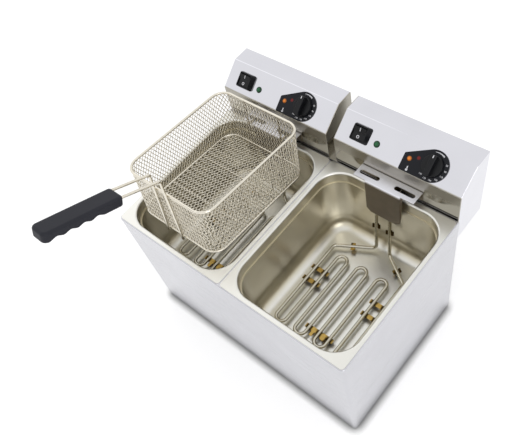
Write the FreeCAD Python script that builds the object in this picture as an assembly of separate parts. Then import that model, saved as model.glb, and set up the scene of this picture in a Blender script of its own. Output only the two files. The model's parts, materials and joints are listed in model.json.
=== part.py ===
import FreeCAD, Part
import math
import os

# Twin-tank countertop electric fryer: one steel casing, two drawn tanks, two lift-off
# control heads with their heating elements, and one wire basket hung up to drain.
# Millimetres. X to the right, Y to the back, Z up. The origin is the middle of the
# casing's footprint on the table.

# Casing of folded sheet
CASING_W = 536.0
CASING_D = 330.0
CASING_H = 305.0
CASING_SHEET = 1.0
CASING_EDGE_R = 8.0
CASING_TOP_R = 2.0
BOTTOM_FOLD = 14.0
REAR_FOLD = 14.0
REAR_SCREW_END = 30.0
REAR_SCREW_ROWS = 3
SHEET_CLEAR = 0.2

# Rubber feet
FOOT_H = 5.0
FOOT_TOP_R = 15.0
FOOT_BASE_R = 13.0
FOOT_INSET = 38.0

# Tanks, each drawn from one sheet with its own flange
FLANGE_INSET = 2.5
FLANGE_GAP = 3.0
FLANGE_CORNER_R = 6.0
TANK_SHEET = 1.2
SIDE_LEDGE = 9.0
FRONT_LEDGE = 10.0
REAR_LEDGE = 11.5
TANK_DEPTH = 158.0
OPENING_R = 48.0
LIP_R = 3.0
STEP_DROP = 24.0
STEP_IN = 2.0
FLOOR_R = 26.0
FOLD_CLEAR = 0.4
BAR_DROP = 14.0
BAR_TAB = 4.0
RAIL_SET_BACK = 2.5
RAIL_STEP = 10.0
RAIL_FOOT = 14.0

# Control heads of folded sheet, hung behind the casing
HEAD_INSET = 3.0
HEAD_GAP = 17.0
HEAD_SHEET = 1.0
HEAD_CLEAR = 2.0
HEAD_BELOW = 60.0
HEAD_ABOVE = 97.0
HEAD_DEPTH = 81.0
PANEL_RUN = 46.0
PANEL_RISE = 36.0
HEAD_FOLD_R = 2.5
HEAD_SIDE_R = 1.2
TAB_W = 12.0

# Brackets on the casing's back that carry the heads
BRACKET_W = 150.0
BRACKET_SHEET = 2.0
BRACKET_DROP = 42.0
BRACKET_LEDGE = 34.0
BRACKET_SCREW_X = 50.0
TONGUE_W = 20.0
TONGUE_H = 22.0
TONGUE_X = 45.0
TONGUE_CLEAR = 1.0

# Basket hanger: shelf with two slots, skirt in front of the element's legs
SHELF_W = 124.0
SHELF_HEIGHT = 30.0
SHELF_REACH = 32.0
HANGER_SHEET = 1.5
HANGER_FLANGE = 22.0
HANGER_BEND_R = 2.5
SLOT_L = 41.0
SLOT_W = 9.0
SLOT_X = 36.0
SKIRT_W = 72.0
SKIRT_DROP = 86.0
SKIRT_CORNER = 9.0
RETURN_TOP = 10.0
RETURN_FOOT = 3.0

# Heating element of bent tube
TUBE_R = 3.5
RUN_PITCH = 23.0
RUN_COUNT = 8
ELEMENT_ABOVE_FLOOR = 12.0
LEG_X = 15.0
LEG_MIDDLE = -5.5
LEG_LEAN = 14.0
LEG_WALL_GAP = 2.6
LEG_STRAIGHT_END = 80.0
LEG_TOE_IN = 24.5
ELEMENT_FRONT_GAP = 38.0
ELEMENT_REAR_GAP = 84.0
SHOULDER_GAP = 72.0
LEG_BEND_R = 10.0
LEG_INTO_HEAD = 14.0
LEG_HOLE_CLEAR = 0.5
NUT_FLATS = 16.0
NUT_H = 5.0
NUT_CLEAR = 1.0
FIT = 0.1

# Clips under the element's tube
CLIP_WALL = 1.4
CLIP_STRAP = 1.8
CLIP_ABOVE = 0.8
CLIP_EAR = 4.5
CLIP_L = 9.0
CLIP_REAR_Y = 17.0
CLIP_MID_Y = -12.0
CLIP_FRONT_INSET = 12.0
CLIP_TAB_W = 6.0
CLIP_TAB_L = 14.0
CLIP_SCREW_R = 6.5
CLIP_SCREW_H = 3.5
CLIP_SCREW_FORWARD = 4.0
CLIP_SHOULDER_SHARE = 0.55
CLIP_LEG_SHARE = 0.65

# Sensor bulbs behind the skirt
BULB_R = 3.0
BULB_FOOT = 6.0
BULB_DOWN = 20.0
BULB_XS = (-6.0, 24.0)
CAPILLARY_R = 1.2
CAPILLARY_BEND_R = 5.0
CAPILLARY_INTO_HEAD = 8.0
GROMMET_CLEAR = 0.3

# Dial plate, knob and thermostat; places are measured on the sloped panel
DIAL_X = 61.5
DIAL_Y = -0.5
DIAL_R = 27.5
DIAL_TIP = 53.5
DIAL_TIP_TOP = 2.5
DIAL_T = 2.0
DIAL_CORNER_R = 3.0
KNOB_R = 19.5
KNOB_TOP_R = 18.0
KNOB_DISC_H = 6.0
KNOB_BAR_W = 10.0
KNOB_BAR_H = 17.0
KNOB_EDGE_R = 1.2
KNOB_LIFT = 0.6
SHAFT_R = 3.0
SHAFT_GRIP = 11.0
SHAFT_FIT = 0.05
BUSH_R = 4.8
BUSH_CLEAR = 0.3
THERMOSTAT_W = 36.0
THERMOSTAT_H = 26.0
BUSH_DEPTH = 14.0

# Lamps
LAMP_X = -46.0
LAMP_Y = -6.2
LAMP_R = 6.2
LAMP_DOME_H = 3.6
LAMP_BODY_R = 4.8
LAMP_BODY_L = 18.0
DOME_FULLNESS = 0.72
LENS_TIP_OFFSET = 11.5
LENS_Y = -4.7
LENS_R = 4.4
LENS_DOME_H = 1.6
LENS_BODY_R = 3.2
LAMP_CLEAR = 0.2

# Rocker switch in a collar that narrows upward
SWITCH_X = -81.3
SWITCH_Y = -1.3
COLLAR_W = 38.0
COLLAR_L = 31.0
COLLAR_R = 4.0
COLLAR_TOP_W = 29.0
COLLAR_TOP_L = 29.0
COLLAR_TOP_R = 3.0
COLLAR_H = 10.0
SWITCH_W = 28.0
SWITCH_L = 27.0
SWITCH_WALL = 1.4
SWITCH_DEPTH = 20.0
SWITCH_FLOOR = 3.0
CUTOUT_CLEAR = 0.3
ROCKER_SIDE_CLEAR = 0.4
ROCKER_END_CLEAR = 0.35
ROCKER_RISE = 4.5
ROCKER_DIP = 2.2
ROCKER_BELOW = 5.0
ROCKER_TILT = 9.0
PIVOT_HEIGHT = 5.5
PIVOT_R = 1.5
PIVOT_REACH = 1.8
PIVOT_FIT = 0.06

# Other pieces held inside or through a head's cover
TERMINAL_W = 62.0
TERMINAL_L = 20.0
TERMINAL_H = 22.0
TERMINAL_X = -70.0
TERMINAL_POLES = 5
TERMINAL_HOLE_R = 3.7
TERMINAL_HOLE_L = 11.0
LIMITER_R = 15.0
LIMITER_L = 22.0
LIMITER_X = 20.0
LIMITER_Z = 60.0
GLAND_X = -85.0
GLAND_Z = 28.0
GLAND_R = 9.0
GLAND_FLATS = 24.0
GLAND_BORE_R = 4.5
GLAND_NUT_H = 6.0
GLAND_CAP_L = 14.0
GLAND_CAP_R = 11.0
GLAND_LIP = 2.0

# Screws
SCREW_HEAD_R = 3.4
SCREW_TOP_R = 2.0
SCREW_HEAD_H = 2.2
SCREW_RIM_H = 1.0
SCREW_R = 1.75
SCREW_L = 7.0
SCREW_HOLE_CLEAR = 0.05
COVER_SCREW_EDGE = 16.0

# Wire basket, measured on the wires' middle lines
BASKET_W = 198.0
BASKET_L = 251.0
BASKET_H = 108.0
BASKET_R = 27.0
BASKET_TILT = 5.5
RIM_R = 2.5
FRAME_R = 2.0
NET_T = 2.0
NET_BAR = 2.0
NET_GAP = 22.0
WELD_GAP = 0.15
CROSS_R = 1.5
CROSS_WIRES = 2
HOOK_R = 2.0
HOOK_X = 42.0
HOOK_TAIL = 14.0
HOOK_BEND_R = 5.0
HANG_RISE = 65.0
HANG_CLEAR = 1.6
REST_GAP = 0.3
STRUT_FOOT = 1.0

# Handle of two bent wires and a moulded grip
HANDLE_R = 2.5
HANDLE_TOP_X = 12.8
HANDLE_FOOT_X = 19.0
HANDLE_RISE = 38.5
HANDLE_SLOPE = 21.5
HANDLE_BEND_R = 6.0
HANDLE_REACH = 74.0
HANDLE_SOCKET = 60.0
GRIP_SLOPE = 17.7
GRIP_BEND_R = 20.0
GRIP_GAP = 2.0
GRIP_DROP = 4.0
GRIP_L = 143.0
GRIP_W = 35.0
GRIP_H = 18.0
GRIP_EDGE_R = 5.0
GRIP_UNDER_R = 2.5
GRIP_NEAR_R = 6.5
GRIP_END_R = 9.5
SCALLOPS = 4
SCALLOP_L = 24.0
SCALLOP_DEPTH = 4.8
SCALLOP_R = 9.0
SCALLOP_START = 37.0

# Places worked out from the sizes above
CASE_BOTTOM = FOOT_H
CASE_TOP = FOOT_H + CASING_H
CASE_FRONT = -CASING_D / 2
CASE_REAR = CASING_D / 2
FLANGE_W = (CASING_W - 2 * FLANGE_INSET - FLANGE_GAP) / 2
FLANGE_L = CASING_D - 2 * FLANGE_INSET
FLANGE_TOP = CASE_TOP + TANK_SHEET
TANK_X = (FLANGE_W + FLANGE_GAP) / 2
TANK_FLOOR = FLANGE_TOP - TANK_DEPTH
OPENING_W = FLANGE_W - 2 * SIDE_LEDGE
OPENING_FRONT = CASE_FRONT + FLANGE_INSET + FRONT_LEDGE
OPENING_REAR = CASE_REAR - FLANGE_INSET - REAR_LEDGE
OPENING_L = OPENING_REAR - OPENING_FRONT
OPENING_Y = (OPENING_FRONT + OPENING_REAR) / 2
UNDER_LIP = TANK_SHEET + LIP_R + FOLD_CLEAR
SIDE_FOLD = FLANGE_INSET + SIDE_LEDGE - UNDER_LIP
FRONT_FOLD = FLANGE_INSET + FRONT_LEDGE - UNDER_LIP
RAIL_FRONT = CASE_REAR - FLANGE_INSET - REAR_LEDGE + UNDER_LIP
BAR_W = FLANGE_GAP + 2 * (SIDE_LEDGE - UNDER_LIP)

HEAD_W = CASING_W / 2 - HEAD_INSET - HEAD_GAP / 2
HEAD_X = (CASING_W / 2 - HEAD_INSET + HEAD_GAP / 2) / 2
HEAD_FRONT = CASE_REAR + HEAD_CLEAR
HEAD_REAR = HEAD_FRONT + HEAD_DEPTH
HEAD_BOTTOM = CASE_TOP - HEAD_BELOW
HEAD_TOP = CASE_TOP + HEAD_ABOVE
PANEL_LOW = HEAD_TOP - PANEL_RISE
PANEL_ANGLE = math.degrees(math.atan2(PANEL_RISE, PANEL_RUN))
COVER_Y = HEAD_REAR - HEAD_SHEET

SHELF_TOP = FLANGE_TOP + SHELF_HEIGHT
SHELF_FRONT = HEAD_FRONT - SHELF_REACH
SLOT_Y = HEAD_FRONT - SHELF_REACH / 2
LEG_Y = OPENING_REAR - STEP_IN - LEG_WALL_GAP - TUBE_R
LEG_TOP = SHELF_TOP - HANGER_SHEET - NUT_FLATS / math.sqrt(3) - NUT_CLEAR
ELEMENT_Z = TANK_FLOOR + ELEMENT_ABOVE_FLOOR
ELEMENT_FRONT = OPENING_FRONT + ELEMENT_FRONT_GAP
SIDES = {"left": -1, "right": 1}

# How far cuts run past a face, through a sheet, and how near counts as the same place
PAST = 1.0
THROUGH = 10.0
SAME = 0.01


def vec(x, y, z):
    return FreeCAD.Vector(x, y, z)


RIGHT = vec(1, 0, 0)
BACK = vec(0, 1, 0)
UP = vec(0, 0, 1)


def box(x0, x1, y0, y1, z0, z1):
    return Part.makeBox(x1 - x0, y1 - y0, z1 - z0, vec(x0, y0, z0))


def cylinder(r, length, base, axis):
    return Part.makeCylinder(r, length, base, axis)


def fuse(shapes):
    """Join touching solids into one and merge their flush faces."""
    body = shapes[0].multiFuse(shapes[1:])
    return body.removeSplitter()


def polygon_face(points):
    return Part.Face(Part.makePolygon(points + [points[0]]))


def rounded_face(w, length, r, z, cx=0.0, cy=0.0):
    """Rectangle with round corners, flat at height z."""
    a = w / 2
    b = length / 2
    k = r * (1 - math.sqrt(0.5))
    corners = ((1, -1), (1, 1), (-1, 1), (-1, -1))
    starts = []
    mids = []
    ends = []
    for i, (sx, sy) in enumerate(corners):
        along_x = vec(cx + sx * (a - r), cy + sy * b, z)
        along_y = vec(cx + sx * a, cy + sy * (b - r), z)
        starts.append(along_x if i % 2 == 0 else along_y)
        ends.append(along_y if i % 2 == 0 else along_x)
        mids.append(vec(cx + sx * (a - k), cy + sy * (b - k), z))
    edges = []
    for i in range(4):
        edges.append(Part.Arc(starts[i], mids[i], ends[i]).toShape())
        edges.append(Part.makeLine(ends[i], starts[(i + 1) % 4]))
    return Part.Face(Part.Wire(edges))


def rounded_polygon(points, radii):
    """Closed outline with a tangent arc at each corner that has a radius."""
    count = len(points)
    bends = []
    for i, r in enumerate(radii):
        if r > 0:
            bends.append(corner_arc(points[i - 1], points[i], points[(i + 1) % count], r))
        else:
            bends.append((points[i], None, points[i]))
    edges = []
    for i, (_, arc, end) in enumerate(bends):
        if arc:
            edges.append(arc)
        edges.append(Part.makeLine(end, bends[(i + 1) % count][0]))
    return Part.Face(Part.Wire(edges))


def prism(face, height):
    return face.extrude(vec(0, 0, height))


def corner_arc(before, corner, after, r):
    """Tangent arc of radius r at a bend, with its two end points."""
    to_before = (before - corner).normalize()
    to_after = (after - corner).normalize()
    half = to_before.getAngle(to_after) / 2
    cut = r / math.tan(half)
    inward = (to_before + to_after).normalize()
    middle = corner + inward * (r / math.sin(half) - r)
    start = corner + to_before * cut
    end = corner + to_after * cut
    return start, Part.Arc(start, middle, end).toShape(), end


def bent_path(points, radii):
    """Straight runs joined by tangent arcs; one radius for each inner point."""
    edges = []
    here = points[0]
    for i, r in enumerate(radii):
        start, arc, end = corner_arc(points[i], points[i + 1], points[i + 2], r)
        if start.distanceToPoint(here) > 1e-6:
            edges.append(Part.makeLine(here, start))
        edges.append(arc)
        here = end
    if points[-1].distanceToPoint(here) > 1e-6:
        edges.append(Part.makeLine(here, points[-1]))
    return Part.Wire(edges)


def round_wire(points, radii, r):
    """Round bar bent along a path."""
    path = bent_path(points, radii)
    direction = points[1] - points[0]
    ring = Part.Wire(Part.makeCircle(r, points[0], direction))
    return path.makePipeShell([ring], True, False)


def wire_loop(w, length, corner_r, r, z, cy):
    """Closed rectangle of round bar with round corners."""
    path = rounded_face(w, length, corner_r, z, 0, cy).OuterWire
    start = path.Edges[1].valueAt(path.Edges[1].FirstParameter)
    along = path.Edges[1].tangentAt(path.Edges[1].FirstParameter)
    ring = Part.Wire(Part.makeCircle(r, start, along))
    ordered = path.Edges[1:] + path.Edges[:1]
    return Part.Wire(ordered).makePipeShell([ring], True, False)


def obround(length, width, height, base):
    """Upright block with two half-round ends, its middle standing at base."""
    r = width / 2
    reach = length / 2 - r
    middle = box(base.x - reach, base.x + reach, base.y - r, base.y + r, base.z, base.z + height)
    ends = [cylinder(r, height, base + RIGHT * (s * reach), UP) for s in (-1, 1)]
    return fuse([middle] + ends)


def hexagon_nut(flats, height, bore_r, base, axis):
    """Hexagon nut with a plain bore, its first face at base."""
    corner = flats / math.sqrt(3)
    points = []
    for i in range(6):
        angle = math.radians(60 * i + 30)
        points.append(vec(corner * math.cos(angle), corner * math.sin(angle), 0))
    nut = prism(polygon_face(points), height)
    nut = nut.cut(Part.makeCylinder(bore_r, height))
    turn = FreeCAD.Rotation(UP, axis)
    nut.Placement = FreeCAD.Placement(base, turn)
    return nut


def screw(base, axis):
    """Pan-head screw whose head sits on the surface at base and points along axis."""
    r = SCREW_HEAD_R
    h = SCREW_HEAD_H
    profile = [vec(0, 0, h), vec(SCREW_TOP_R, 0, h), vec(r, 0, SCREW_RIM_H), vec(r, 0, 0)]
    profile += [vec(SCREW_R, 0, 0), vec(SCREW_R, 0, -SCREW_L), vec(0, 0, -SCREW_L)]
    body = polygon_face(profile).revolve(vec(0, 0, 0), UP, 360)
    turn = FreeCAD.Rotation(UP, axis)
    body.Placement = FreeCAD.Placement(base, turn)
    return body


def screw_hole(base, axis):
    start = base - axis * SCREW_L
    return cylinder(SCREW_R + SCREW_HOLE_CLEAR, SCREW_L + PAST, start, axis)


def save(name, shape):
    shape.exportStep("parts/" + name + ".step")


def group(shapes):
    return Part.makeCompound(shapes)


def rear_panel_screw_places():
    x = CASING_W / 2 - CASING_SHEET - REAR_FOLD / 2
    low = CASE_BOTTOM + REAR_SCREW_END
    step = (HEAD_BOTTOM - REAR_SCREW_END - low) / (REAR_SCREW_ROWS - 1)
    return [vec(s * x, CASE_REAR, low + i * step) for s in (-1, 1) for i in range(REAR_SCREW_ROWS)]


def bracket_screw_places(cx):
    z = HEAD_BOTTOM - BRACKET_DROP / 2
    return [vec(cx + s * BRACKET_SCREW_X, CASE_REAR + BRACKET_SHEET, z) for s in (-1, 1)]


def casing_wrap():
    """Front and both sides in one folded sheet, with folds inward at top, foot and back."""
    t = CASING_SHEET
    w = CASING_W
    outer = rounded_face(w, CASING_D, CASING_EDGE_R, CASE_BOTTOM)
    squared = box(-w / 2, w / 2, 0, CASE_REAR, CASE_BOTTOM, CASE_TOP)
    body = prism(outer, CASING_H).fuse(squared).removeSplitter()
    top_edges = [e for e in body.Edges if level(e, CASE_TOP) and e.BoundBox.YMin < CASE_REAR - SAME]
    body = body.makeFillet(CASING_TOP_R, top_edges)
    inner = rounded_face(w - 2 * t, CASING_D - 2 * t, CASING_EDGE_R - t, CASE_BOTTOM + t)
    hollow = prism(inner, CASING_H - 2 * t)
    hollow = hollow.fuse(box(-w / 2 + t, w / 2 - t, 0, CASE_REAR - 2 * t, CASE_BOTTOM + t, CASE_TOP - t))
    body = body.cut(hollow)
    x = w / 2 - SIDE_FOLD
    body = body.cut(box(-x, x, CASE_FRONT + FRONT_FOLD, CASE_REAR, CASE_TOP - t, CASE_TOP))
    x = w / 2 - t - BOTTOM_FOLD
    body = body.cut(box(-x, x, CASE_FRONT + t + BOTTOM_FOLD, CASE_REAR, CASE_BOTTOM, CASE_BOTTOM + t))
    x = w / 2 - t - REAR_FOLD
    body = body.cut(box(-x, x, CASE_REAR - 2 * t, CASE_REAR, CASE_BOTTOM, CASE_TOP))
    x = w / 2 - t
    body = body.cut(box(-x, x, CASE_REAR - t, CASE_REAR, CASE_BOTTOM, CASE_TOP))
    for place in rear_panel_screw_places():
        body = body.cut(screw_hole(place, BACK))
    return body.removeSplitter()


def casing_rear():
    """Flat back panel laid on the wrap's rear folds."""
    t = CASING_SHEET
    x = CASING_W / 2 - t - SHEET_CLEAR
    panel = box(-x, x, CASE_REAR - t, CASE_REAR, CASE_BOTTOM, CASE_TOP)
    for place in rear_panel_screw_places():
        panel = panel.cut(screw_hole(place, BACK))
    for side in SIDES.values():
        for place in bracket_screw_places(side * HEAD_X):
            panel = panel.cut(screw_hole(place, BACK))
    return panel


def rear_rail():
    """Stepped rail inside the back panel that carries the tanks' rear flanges."""
    t = CASING_SHEET
    x = CASING_W / 2 - t - REAR_FOLD - SHEET_CLEAR
    back = CASE_REAR - t
    web = back - RAIL_SET_BACK
    low = CASE_TOP - RAIL_STEP
    seat = box(-x, x, RAIL_FRONT, web, CASE_TOP - t, CASE_TOP)
    riser = box(-x, x, web - t, web, low - t, CASE_TOP)
    step = box(-x, x, web - t, back, low - t, low)
    foot = box(-x, x, back - t, back, low - RAIL_FOOT, low)
    return fuse([seat, riser, step, foot])


def base_plate():
    """Bottom sheet lying on the wrap's lower folds."""
    t = CASING_SHEET
    x = CASING_W / 2 - t - SHEET_CLEAR
    y0 = CASE_FRONT + t + SHEET_CLEAR
    y1 = CASE_REAR - 2 * t - SHEET_CLEAR
    z = CASE_BOTTOM + t
    plate = box(-x, x, y0, y1, z, z + t)
    upright = [e for e in plate.Edges if e.BoundBox.ZLength > t - SAME]
    front_edges = [e for e in upright if e.CenterOfMass.y < 0]
    return plate.makeFillet(CASING_EDGE_R - t, front_edges)


def feet():
    height = FOOT_H + CASING_SHEET
    x = CASING_W / 2 - FOOT_INSET
    y = CASING_D / 2 - FOOT_INSET
    pads = []
    for sx in (-1, 1):
        for sy in (-1, 1):
            pads.append(Part.makeCone(FOOT_BASE_R, FOOT_TOP_R, height, vec(sx * x, sy * y, 0)))
    return group(pads)


def centre_bar():
    """Bar from front to back under the tanks' inner flanges."""
    t = CASING_SHEET
    front = CASE_FRONT + FRONT_FOLD
    back = RAIL_FRONT
    half = BAR_W / 2
    top = box(-half, half, front + SHEET_CLEAR, back - SHEET_CLEAR, CASE_TOP - t, CASE_TOP)
    y0 = front - BAR_TAB
    y1 = back + BAR_TAB
    low = CASE_TOP - 2 * t
    tabs = box(-half, half, y0, y1, low, CASE_TOP - t)
    web = box(-half, half, y0, y1, CASE_TOP - BAR_DROP, low)
    hollow = box(-half + t, half - t, y0, y1, CASE_TOP - BAR_DROP, low)
    return fuse([top, tabs, web.cut(hollow)])


def tank(cx):
    """Deep-drawn tank: flange, round lip, stacking step, straight walls, round floor edge."""
    t = TANK_SHEET
    low_w = OPENING_W - 2 * STEP_IN
    low_l = OPENING_L - 2 * STEP_IN
    low_r = OPENING_R - STEP_IN
    step_z = FLANGE_TOP - STEP_DROP

    def drawn(grow, top):
        """Solid of the tank's inside, or of its outside when grown by the sheet."""
        band = rounded_face(OPENING_W + 2 * grow, OPENING_L + 2 * grow, OPENING_R + grow,
                            step_z - grow, cx, OPENING_Y)
        body = rounded_face(low_w + 2 * grow, low_l + 2 * grow, low_r + grow,
                            TANK_FLOOR - grow, cx, OPENING_Y)
        well = prism(body, step_z - TANK_FLOOR + PAST)
        floor_edges = [e for e in well.Edges if e.BoundBox.ZMax < TANK_FLOOR - grow + SAME]
        well = well.makeFillet(FLOOR_R + grow, floor_edges)
        return well.fuse(prism(band, top - step_z + grow)).removeSplitter()

    flange = rounded_face(FLANGE_W, FLANGE_L, FLANGE_CORNER_R, CASE_TOP, cx, 0)
    outside = drawn(t, CASE_TOP + t / 2).fuse(prism(flange, t)).removeSplitter()
    under_lip = [e for e in outside.Edges if level(e, CASE_TOP) and on_opening(e, cx, t)]
    outside = outside.makeFillet(LIP_R, under_lip)
    shell = outside.cut(drawn(0, FLANGE_TOP + PAST))
    lip = [e for e in shell.Edges if level(e, FLANGE_TOP) and on_opening(e, cx, 0)]
    return shell.makeFillet(LIP_R + t, lip)


def level(edge, z):
    """True for an edge that lies flat at height z."""
    return abs(edge.BoundBox.ZMin - z) < SAME and abs(edge.BoundBox.ZMax - z) < SAME


def on_opening(edge, cx, grow):
    """True for an edge on the opening's outline, not on the flange's rim."""
    middle = edge.valueAt((edge.FirstParameter + edge.LastParameter) / 2)
    inside_x = abs(middle.x - cx) < OPENING_W / 2 + grow + SAME
    inside_y = abs(middle.y - OPENING_Y) < OPENING_L / 2 + grow + SAME
    return inside_x and inside_y


def head_bracket(cx):
    """Angle bracket with two tongues that locate the head sitting on it."""
    t = BRACKET_SHEET
    half = BRACKET_W / 2
    ledge_rear = CASE_REAR + BRACKET_LEDGE
    plate = box(cx - half, cx + half, CASE_REAR, CASE_REAR + t, HEAD_BOTTOM - BRACKET_DROP, HEAD_BOTTOM)
    ledge = box(cx - half, cx + half, CASE_REAR, ledge_rear, HEAD_BOTTOM - t, HEAD_BOTTOM)
    pieces = [plate, ledge]
    for s in (-1, 1):
        x = cx + s * TONGUE_X
        pieces.append(box(x - TONGUE_W / 2, x + TONGUE_W / 2, ledge_rear - t, ledge_rear,
                          HEAD_BOTTOM - t, HEAD_BOTTOM + TONGUE_H))
    bracket = fuse(pieces)
    for place in bracket_screw_places(cx):
        bracket = bracket.cut(screw_hole(place, BACK))
    return bracket


def panel_place(cx):
    """Placement of the sloped panel: X across, Y up the slope, Z out of the panel."""
    middle = vec(cx, HEAD_FRONT + PANEL_RUN / 2, PANEL_LOW + PANEL_RISE / 2)
    return FreeCAD.Placement(middle, FreeCAD.Rotation(RIGHT, PANEL_ANGLE))


def on_panel(shape, cx):
    placed = shape.copy()
    placed.Placement = panel_place(cx).multiply(placed.Placement)
    return placed


def lens_x():
    return DIAL_X - DIAL_TIP + LENS_TIP_OFFSET


def panel_cutouts():
    """Holes through the sloped panel and what lies on it."""
    deep = THROUGH
    down = vec(0, 0, -1)
    w = SWITCH_W / 2 + CUTOUT_CLEAR
    length = SWITCH_L / 2 + CUTOUT_CLEAR
    switch = box(SWITCH_X - w, SWITCH_X + w, SWITCH_Y - length, SWITCH_Y + length, -deep, deep)
    lamp = cylinder(LAMP_BODY_R + LAMP_CLEAR, 2 * deep, vec(LAMP_X, LAMP_Y, deep), down)
    bush = cylinder(BUSH_R + BUSH_CLEAR, 2 * deep, vec(DIAL_X, DIAL_Y, deep), down)
    lens = cylinder(LENS_BODY_R + LAMP_CLEAR, 2 * deep, vec(lens_x(), LENS_Y, deep), down)
    return [switch, lamp, bush, lens]


def leg_places(cx):
    return [vec(cx + LEG_MIDDLE + s * LEG_X, HEAD_FRONT, LEG_TOP) for s in (-1, 1)]


def bulb_places(cx):
    return [vec(cx + x, HEAD_FRONT, LEG_TOP) for x in BULB_XS]


def pass_holes(tank_cx):
    """Holes for the element's legs and the sensor tubes through wall and hanger."""
    holes = []
    for place in leg_places(tank_cx):
        holes.append(cylinder(TUBE_R + LEG_HOLE_CLEAR, 2 * THROUGH, place - BACK * THROUGH, BACK))
    for place in bulb_places(tank_cx):
        holes.append(cylinder(CAPILLARY_R + GROMMET_CLEAR, 2 * THROUGH, place - BACK * THROUGH, BACK))
    return holes


def cover_screw_places(cx):
    x = HEAD_W / 2 - HEAD_SHEET - TAB_W / 2
    heights = (HEAD_BOTTOM + COVER_SCREW_EDGE, HEAD_TOP - COVER_SCREW_EDGE)
    return [vec(cx + s * x, HEAD_REAR, z) for s in (-1, 1) for z in heights]


def head_outline(shrink, rear, bottom):
    """Side view of a head with round folds; shrink moves front, panel and top inward."""
    slope = math.radians(PANEL_ANGLE)
    front = HEAD_FRONT + shrink
    top = HEAD_TOP - shrink
    low = PANEL_LOW + shrink * math.tan(slope) - shrink / math.cos(slope)
    high = front + (top - low) / math.tan(slope)
    points = [(front, bottom), (front, low), (high, top), (rear, top), (rear, bottom)]
    fold = HEAD_FOLD_R - shrink
    return rounded_polygon([vec(0, y, z) for y, z in points], [0, fold, fold, 0, 0])


def head_block():
    """Outside of a head, its edges rounded where front, panel and top meet the sides."""
    block = head_outline(0, HEAD_REAR, HEAD_BOTTOM).extrude(RIGHT * HEAD_W)
    side_edges = []
    for edge in block.Edges:
        flat = edge.BoundBox.XLength < SAME
        open_end = edge.BoundBox.YMin > HEAD_REAR - SAME or edge.BoundBox.ZMax < HEAD_BOTTOM + SAME
        if flat and not open_end:
            side_edges.append(edge)
    return block.makeFillet(HEAD_SIDE_R, side_edges)


def head_shell(cx, tank_cx):
    """Front wall, sloped panel, top and sides of a head in one folded sheet."""
    t = HEAD_SHEET
    half = HEAD_W / 2
    outer = head_block()
    inner = head_outline(t, HEAD_REAR + t, HEAD_BOTTOM - t).extrude(RIGHT * (HEAD_W - 2 * t))
    outer.translate(RIGHT * (cx - half))
    inner.translate(RIGHT * (cx - half + t))
    shell = outer.cut(inner)
    tabs = []
    for s in (-1, 1):
        x0 = cx + s * (half - t) - (TAB_W if s > 0 else 0)
        tabs.append(box(x0, x0 + TAB_W, COVER_Y - t, COVER_Y, HEAD_BOTTOM + 2 * t, HEAD_TOP - t))
    shell = fuse([shell] + tabs)
    cuts = [on_panel(c, cx) for c in panel_cutouts()] + pass_holes(tank_cx)
    cuts += [screw_hole(p, BACK) for p in cover_screw_places(cx)]
    for cut in cuts:
        shell = shell.cut(cut)
    return shell


def gland_place(cx):
    return vec(cx + GLAND_X, HEAD_REAR, HEAD_BOTTOM + GLAND_Z)


def head_cover(cx):
    """Back and bottom of a head in one bent sheet, screwed to the shell's tabs."""
    t = HEAD_SHEET
    half = HEAD_W / 2 - t - SHEET_CLEAR
    back = box(cx - half, cx + half, COVER_Y, HEAD_REAR, HEAD_BOTTOM, HEAD_TOP - t - SHEET_CLEAR)
    y0 = HEAD_FRONT + t + SHEET_CLEAR
    bottom = box(cx - half, cx + half, y0, HEAD_REAR, HEAD_BOTTOM, HEAD_BOTTOM + t)
    cover = fuse([back, bottom])
    tongue_rear = CASE_REAR + BRACKET_LEDGE
    for s in (-1, 1):
        x = cx + s * TONGUE_X
        half_slot = TONGUE_W / 2 + TONGUE_CLEAR
        y0 = tongue_rear - BRACKET_SHEET - TONGUE_CLEAR
        y1 = tongue_rear + TONGUE_CLEAR
        slot = box(x - half_slot, x + half_slot, y0, y1, HEAD_BOTTOM - PAST, HEAD_BOTTOM + t + PAST)
        cover = cover.cut(slot)
    for place in cover_screw_places(cx):
        cover = cover.cut(screw_hole(place, BACK))
    hole = cylinder(GLAND_R + FIT, 2 * THROUGH, gland_place(cx) - BACK * THROUGH, BACK)
    return cover.cut(hole)


def hanger_strip():
    """Side view of the hanger's bent sheet: flange, shelf and skirt."""
    t = HANGER_SHEET
    low = SHELF_TOP - SKIRT_DROP
    flange = SHELF_TOP - HANGER_FLANGE
    points = [(HEAD_FRONT, flange), (HEAD_FRONT, SHELF_TOP), (SHELF_FRONT, SHELF_TOP), (SHELF_FRONT, low)]
    points += [(SHELF_FRONT + t, low), (SHELF_FRONT + t, SHELF_TOP - t)]
    points += [(HEAD_FRONT - t, SHELF_TOP - t), (HEAD_FRONT - t, flange)]
    outside = HANGER_BEND_R
    inside = HANGER_BEND_R - t
    return rounded_polygon([vec(0, y, z) for y, z in points], [0, outside, outside, 0, 0, inside, inside, 0])


def skirt_trims():
    """What is cut from the sheet to leave a skirt narrower than the shelf, with cut-off corners."""
    half = SHELF_W / 2
    skirt_half = SKIRT_W / 2
    low = SHELF_TOP - SKIRT_DROP
    front = SHELF_FRONT - PAST
    trims = []
    for s in (-1, 1):
        x0, x1 = sorted((s * skirt_half, s * (half + PAST)))
        trims.append(box(x0, x1, front, SHELF_FRONT + HANGER_BEND_R, low - PAST, SHELF_TOP + PAST))
        corner = [(skirt_half, low), (skirt_half, low + SKIRT_CORNER), (skirt_half - SKIRT_CORNER, low)]
        triangle = polygon_face([vec(s * x, front, z) for x, z in corner])
        trims.append(triangle.extrude(BACK * (HANGER_SHEET + 2 * PAST)))
    return trims


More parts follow.
